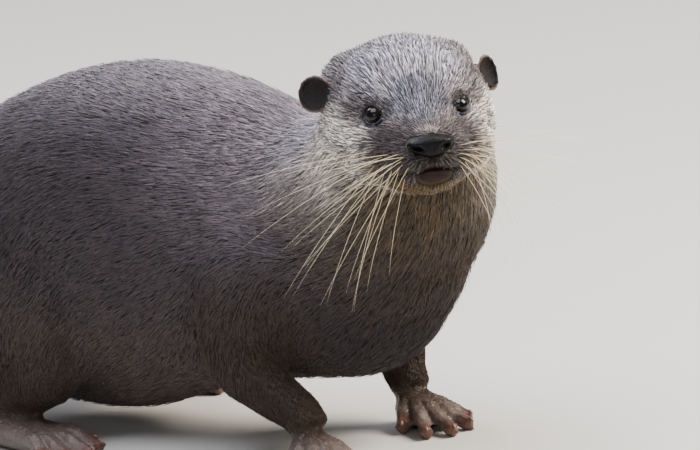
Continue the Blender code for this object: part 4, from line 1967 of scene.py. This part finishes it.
    def combed(self, roots: Array, kinds: Array) -> tuple[Array, Array]:
        """Measures places across and along the lie of the coat.

        Args:
            roots: Places on the skin.
            kinds: The CAD node under each.

        Returns:
            Millimetres across and along, each counted from its own start.
        """
        local = HEAD.local(roots) - np.array(self.fan_centre)
        away = np.linalg.norm(local, axis=1)
        # On the face the streaks fan out from the nose, and part again as the fan widens. The turn is
        # counted from far off zero, so that no streak of one ring has the number of another ring's.
        radius = np.array(self.fan_radii)[np.searchsorted(self.fan_rings, away, side="right")]
        across = (np.arctan2(local[:, 1], local[:, 2]) + 1000) * radius
        along = np.where(away < 24, 2 * away, away + 24)
        x, y, z = roots.T
        round_body = np.arctan2(y, z - 90)
        limb = starting(kinds, Part.LEG.value + Part.FOOT.value)
        tail = starting(kinds, Part.TAIL.value)
        trunk = starting(kinds, Part.NECK.value + Part.TRUNK.value)
        across = np.where(trunk, round_body * 60 + 0.36 * np.sin(round_body) * x, across)
        across = np.where(tail, np.arctan2(y - 20, z - 20 - 0.2 * (x + 100)) * 20, across)
        along = np.where(trunk | tail, -x, along)
        return np.where(limb, x + 0.6 * y, across), np.where(limb, -z, along)

    def laid(self, tips: Array, rise: Array) -> Array:
        """Lays tips down over the skin at their own height.

        Args:
            tips: The locks' tips.
            rise: How high each stands off the skin.

        Returns:
            The moved tips.
        """
        near = [self.tree.find_nearest(tip) for tip in tips.tolist()]
        foot = np.array([hit[0] for hit in near])
        normal = np.array([hit[1] for hit in near])
        return foot + normal * rise[:, None]

    def mesh_of(self, name: str, points: Array, material: Material) -> Object:
        """Joins all locks of a piece into one mesh of closed six-sided spindles.

        Args:
            name: The piece's name.
            points: Root, left, ridge, right and tip of each lock.
            material: The hair's finish.

        Returns:
            The object.
        """
        faces = np.array([(0, 2, 1), (0, 3, 2), (0, 1, 3), (4, 1, 2), (4, 2, 3), (4, 3, 1)])
        count = len(points)
        corners = (faces[None] + 5 * np.arange(count)[:, None, None]).reshape(-1)
        mesh = bpy.data.meshes.new(name)
        mesh.vertices.add(count * 5)
        mesh.loops.add(len(corners))
        mesh.polygons.add(len(corners) // 3)
        mesh.vertices.foreach_set("co", (points * MM).astype(np.float32).ravel())
        mesh.loops.foreach_set("vertex_index", corners.astype(np.int32))
        mesh.polygons.foreach_set("loop_start", np.arange(0, len(corners), 3, dtype=np.int32))
        mesh.update(calc_edges=True)
        mesh.shade_smooth()
        mesh.materials.append(material)
        return link_object(name, mesh)

    def unwrap(self, mesh: bpy.types.Mesh, roots: Array, kinds: Array) -> None:
        """Gives each lock a small patch of the map, at its root's place on the skin rolled out flat.

        Args:
            mesh: The piece.
            roots: The locks' roots.
            kinds: The CAD node under each root.
        """
        names = sorted(set(kinds.tolist()))
        cells = math.ceil(math.sqrt(len(names)))
        place = np.zeros((len(roots), 2))
        for index, name in enumerate(names):
            here = kinds == name
            rolled = self.rolled_out(roots[here], name)
            cell = np.array((index % cells, index // cells))
            place[here] = (cell + 0.02 + 0.96 * rolled) / cells
        place = np.clip(place, self.map_patch, 1 - self.map_patch)
        offsets = np.array(((0, -0.5), (-0.5, 0), (0, 0), (0.5, 0), (0, 0.5))) * self.map_patch
        spots = (place[:, None] + offsets[None]).reshape(-1, 2)
        loops = np.empty(len(mesh.loops), np.int32)
        mesh.loops.foreach_get("vertex_index", loops)
        layer = mesh.uv_layers.new(name="OFBake")
        layer.data.foreach_set("uv", spots[loops].astype(np.float32).ravel())

    @staticmethod
    def rolled_out(points: Array, node: str) -> Array:
        """Unrolls one node's skin about its longest axis.

        Args:
            points: Places on it.
            node: The CAD node.

        Returns:
            Share along the axis and share of a turn, both between 0 and 1.
        """
        if node.startswith(("head", "jaw")):
            points = HEAD.local(points) + np.array((0.0, 0.0, 20.0))
            long = 0
            middle = np.zeros(3)
        else:
            low, high = (np.array(corner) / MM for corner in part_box(node))
            long = int(np.argmax(high - low))
            middle = (low + high) / 2
        first, second = [axis for axis in range(3) if axis != long]
        low, high = points[:, long].min(), points[:, long].max() + 1e-6
        turn = np.arctan2(points[:, second] - middle[second], points[:, first] - middle[first])
        return np.stack([(points[:, long] - low) / (high - low), turn / math.tau + 0.5], axis=1)


# ---------- whiskers


@dataclass
class Whiskers:
    """Stiff whiskers fanned from each pad, with two more hairs on each cheek."""

    skin: Skin
    seed: int = 31
    count: int = 22
    thickness: float = 0.28
    rings: int = 12
    sides: int = 5
    lift: float = math.radians(-2)
    droop: float = math.radians(80)
    sweep: float = 0.52
    pad_front: float = 12.5
    pad_depth: float = 11.0
    pad_top: float = -23.5
    pad_drop: float = 9.5
    shortest: float = 75.0
    longer: float = 18.0
    front_shorter: float = 26.0
    tip_share: float = 0.12
    cheek_hairs: tuple[tuple[float, ...], ...] = ((22.0, -24.0, 0.0, 30.0), (24.0, -29.0, -0.3, 26.0))

    def build(self, material: Material) -> list[Object]:
        """Models each side's whiskers as one piece.

        Args:
            material: Whisker keratin.

        Returns:
            The two pieces.
        """
        rng = np.random.default_rng(self.seed)
        tree = self.skin.surface.tree()
        made = []
        for side, out in SIDES.items():
            curves = [*self.pad_curves(out, tree, rng), *self.cheek_curves(out, tree, rng)]
            piece = self.piece_of(f"whiskers_{side}", curves, material)
            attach(piece, BODY)
            made.append(piece)
        return made

    def pad_curves(self, out: float, tree: BVHTree, rng: Chance) -> list[Array]:
        """Plans the whiskers of one pad.

        Args:
            out: 1 for the left side, -1 for the right.
            tree: The skin's search tree.
            rng: The source of chance.

        Returns:
            Curves of points in the model's frame.
        """
        found = []
        for place in range(self.count):
            # The uppermost point outwards, the lowest almost straight down, and those between are long.
            fan = (place + 0.5) / self.count
            angle = -self.lift + (self.lift + self.droop) * fan**0.9 + rng.normal(0, 0.05)
            back = (place * 7 % 5) / 4
            aside = self.pad_front + self.pad_depth * back + rng.normal(0, 0.7)
            spot = (110.0, out * aside, self.pad_top - self.pad_drop * fan + rng.normal(0, 0.8))
            root = self.cast(tree, spot, (-1, 0, 0))
            if root is None:
                continue
            long = self.shortest + self.longer * math.sin(math.pi * min(1.0, 0.2 + 0.75 * fan))
            long -= self.front_shorter * (1 - back) * rng.random()
            length = long * rng.uniform(0.86, 1.05)
            sweep = self.sweep + rng.normal(0, 0.05)
            start = self.heading(0.55 - 0.8 * sweep, out, angle - 0.16)
            end = self.heading(-1.9 * sweep, out, angle + 0.2)
            found.append(self.curve(root, start, end, length))
        return found

    @staticmethod
    def heading(ahead: float, out: float, droop: float) -> Array:
        """Gives the direction that points ahead so much, and outwards and down by an angle."""
        return unit(np.array((ahead, out * math.cos(droop), -math.sin(droop))))

    def cheek_curves(self, out: float, tree: BVHTree, rng: Chance) -> list[Array]:
        """Plans the few long hairs on the cheek of one side.

        Args:
            out: 1 or -1, for the side.
            tree: The skin, on which they root.
            rng: The source of chance.

        Returns:
            The hairs' middle lines.
        """
        found = []
        for x, z, up, length in self.cheek_hairs:
            root = self.cast(tree, (x, out * 60, z), (0, -out, 0))
            if root is None:
                continue
            start = unit(np.array((0.35, out, up)))
            end = unit(np.array((-0.2, out, up * 0.4 - 0.1)))
            found.append(self.curve(root, start, end, length * rng.uniform(0.85, 1.1)))
        return found

    @staticmethod
    def cast(tree: BVHTree, start: Iterable[float], ahead: Iterable[float]) -> Array | None:
        """Finds where a ray in the head's frame meets the skin.

        Args:
            tree: The skin.
            start: Where the ray starts.
            ahead: Its direction.

        Returns:
            The point met, or None.
        """
        origin = Vector(HEAD.place(tuple(start)))
        hit = tree.ray_cast(origin, Vector(HEAD.turn(tuple(ahead))))[0]
        return None if hit is None else np.array(hit)

    def curve(self, root: Array, start: Array, end: Array, length: float) -> Array:
        """Runs a bending line of a given length from its root.

        Args:
            root: Where it leaves the skin, in the model's frame.
            start: Its first direction, in the head's frame.
            end: Its last direction, in the head's frame.
            length: Its length.

        Returns:
            Its points, from just under the skin.
        """
        shares = np.linspace(0, 1, self.rings)[:, None]
        headings = unit(HEAD.turn(start) * (1 - shares) + HEAD.turn(end) * shares)
        steps = headings * length / (self.rings - 1)
        points = root - HEAD.turn(start) * 0.8 + np.vstack([np.zeros(3), np.cumsum(steps[1:], axis=0)])
        # A whisker that would stand too far out is shortened as a whole.
        away = points - root
        limit = np.where(away > 0, np.array(HIGHEST), np.array(LOWEST)) - root
        room = (limit / np.where(np.abs(away) < 1e-6, 1e-6, away))[1:]
        return root + away * min(1.0, float(room[room > 0].min()))

    def piece_of(self, name: str, curves: list[Array], material: Material) -> Object:
        """Makes one mesh of tapered rods along the curves.

        Args:
            name: The piece's name.
            curves: The rods' lines.
            material: Whisker keratin.

        Returns:
            The piece.
        """
        bm = bmesh.new()
        shares: list[float] = []
        for points in curves:
            rod = bmesh.new()
            bmesh.ops.create_cone(
                rod,
                cap_ends=True,
                cap_tris=True,
                segments=self.sides,
                radius1=1.0,
                radius2=self.tip_share,
                depth=1.0,
            )
            upright = [edge for edge in rod.edges if abs(edge.verts[0].co.z - edge.verts[1].co.z) > 0.5]
            bmesh.ops.subdivide_edges(rod, edges=upright, cuts=self.rings - 2)
            for vert in rod.verts:
                share = vert.co.z + 0.5
                step = min(self.rings - 1, round(share * (self.rings - 1)))
                ahead = points[min(step + 1, self.rings - 1)] - points[max(step - 1, 0)]
                turn = Vector(ahead).to_track_quat("Z", "Y")
                radius = self.thickness / 2
                vert.co = Vector(points[step]) + turn @ Vector((vert.co.x * radius, vert.co.y * radius, 0))
                shares.append(share)
            spare = bpy.data.meshes.new("spare")
            rod.to_mesh(spare)
            rod.free()
            bm.from_mesh(spare)
            bpy.data.meshes.remove(spare)
        piece = object_of(name, bm, material)
        rows = np.zeros((len(shares), 3))
        rows[:, 0] = shares
        colour_attribute(piece.data, "lock", rows)
        return piece


# ---------- studio and camera


@dataclass(frozen=True)
class Lamp:
    """One soft rectangular light."""

    name: str
    azimuth: float
    elevation: float
    distance: float
    size: float
    watts: float
    tint: str = "#ffffff"


@dataclass
class Studio:
    """A plain pale floor under plain soft light."""

    floor_size: float = 30.0
    floor_tone: str = "#cfccc6"
    floor_grain: float = 60.0
    floor_bump_mm: float = 0.3
    floor_strength: float = 0.2
    floor_roughness: float = 0.9
    sky_tone: str = "#e9edf2"
    sky_strength: float = 0.30
    lamps: tuple[Lamp, ...] = (
        Lamp("top_softbox", 30, 76, 1.7, 1.5, 46, "#f0f2ff"),
        Lamp("side_softbox", 124, 38, 1.8, 0.9, 68, "#fff5e8"),
        Lamp("front_fill", 40, 18, 2.2, 1.0, 5, "#ffffff"),
        Lamp("back_softbox", 245, 45, 1.9, 1.0, 24, "#eef1ff"),
    )

    def build(self, middle: Vector) -> None:
        """Sets up floor, sky and lamps.

        Args:
            middle: What the lamps point at, in metres.
        """
        matt = {"Base Color": (*linear(self.floor_tone), 1.0), "Roughness": self.floor_roughness}
        material, tree, shader = blank_material("matt_floor_paint", matt)
        place = add_node(tree, "TexCoord").outputs["Object"]
        grain = add_node(tree, "TexNoise", {"Scale": self.floor_grain, "Detail": 3.0}, {"Vector": place})
        height = {"Distance": self.floor_bump_mm * MM, "Strength": self.floor_strength}
        feed(shader, {"Normal": add_node(tree, "Bump", height, {"Height": grain})})
        bm = bmesh.new()
        bmesh.ops.create_grid(bm, x_segments=1, y_segments=1, size=self.floor_size / 2 / MM)
        object_of("floor", bm, material)
        world = bpy.data.worlds.new("soft_sky")
        bpy.context.scene.world = world
        world.use_nodes = True
        backdrop = world.node_tree.nodes["Background"]
        backdrop.inputs["Color"].default_value = (*linear(self.sky_tone), 1.0)
        backdrop.inputs["Strength"].default_value = self.sky_strength
        for lamp in self.lamps:
            self.hang(lamp, middle)

    @staticmethod
    def hang(lamp: Lamp, middle: Vector) -> None:
        """Places one lamp round the model, facing it.

        Args:
            lamp: The lamp.
            middle: The model's middle.
        """
        data = bpy.data.lights.new(lamp.name, "AREA")
        data.size = lamp.size
        data.energy = lamp.watts
        data.color = linear(lamp.tint)
        away = outlook(lamp.azimuth, lamp.elevation)
        obj = bpy.data.objects.new(lamp.name, data)
        obj.location = middle + away * lamp.distance
        obj.rotation_euler = away.to_track_quat("Z", "Y").to_euler()
        bpy.context.scene.collection.objects.link(obj)


def outlook(azimuth: float, elevation: float) -> Vector:
    """Gives the direction from the model to an onlooker, in degrees from looking along +Y and up."""
    turn, lift = math.radians(azimuth), math.radians(elevation)
    return Vector((math.sin(turn) * math.cos(lift), -math.cos(turn) * math.cos(lift), math.sin(lift)))


@dataclass(frozen=True)
class Viewpoint:
    """A long lens level with the animal's chest, a little to the front of its side and tipped slightly."""

    azimuth: float = 40.0
    elevation: float = 12.0
    roll: float = 6.5
    distance: float = 5.5
    lens: float = 594.0
    sensor: float = 36.0
    clip_end: float = 50.0
    aim: Triple = (-56.0, 16.8, -75.8)

    def build(self) -> None:
        """Places the camera by its aim, measured in millimetres from the point midway between the ears."""
        target = Vector((HEAD.origin + np.array(self.aim)) * MM)
        back = outlook(self.azimuth, self.elevation)
        right = Vector((0, 0, 1)).cross(back).normalized()
        up = back.cross(right)
        tip = math.radians(self.roll)
        tipped_right = right * math.cos(tip) - up * math.sin(tip)
        tipped_up = right * math.sin(tip) + up * math.cos(tip)
        data = bpy.data.cameras.new("long_lens")
        data.lens = self.lens
        data.sensor_width = self.sensor
        data.clip_end = self.clip_end
        camera = bpy.data.objects.new("camera", data)
        turn = Matrix((tipped_right, tipped_up, back)).transposed().to_4x4()
        camera.matrix_world = Matrix.Translation(target + back * self.distance) @ turn
        bpy.context.scene.collection.objects.link(camera)
        bpy.context.scene.camera = camera


def main() -> None:
    """Builds the model's looks piece by piece, then the studio round it."""
    hair = CoatFinish().material()
    skin = Skin()
    hide = skin.build(SkinFinish().material())
    log.info("%s: %d triangles", hide.name, len(skin.surface.triangles))
    eye_finish = EyeFinish().material()
    for eye in EYES:
        log.info("%s", eye.build(eye_finish).name)
    log.info("%s", NOSE.build(NoseFinish().material()).name)
    for piece in Whiskers(skin).build(WhiskerFinish().material()):
        log.info("%s: %d faces", piece.name, len(piece.data.polygons))
    coat = Coat(skin).build(hair)
    log.info("coat: %d triangles in %d pieces", sum(len(tuft.data.polygons) for tuft in coat), len(coat))
    skin.sink(hide)
    horn = HornFinish().material()
    for foot in FEET:
        log.info("%s", foot.build(horn).name)
    Studio().build((CAD_BOX[0] + CAD_BOX[1]) / 2)
    Viewpoint().build()


if __name__ == "__main__":
    main()
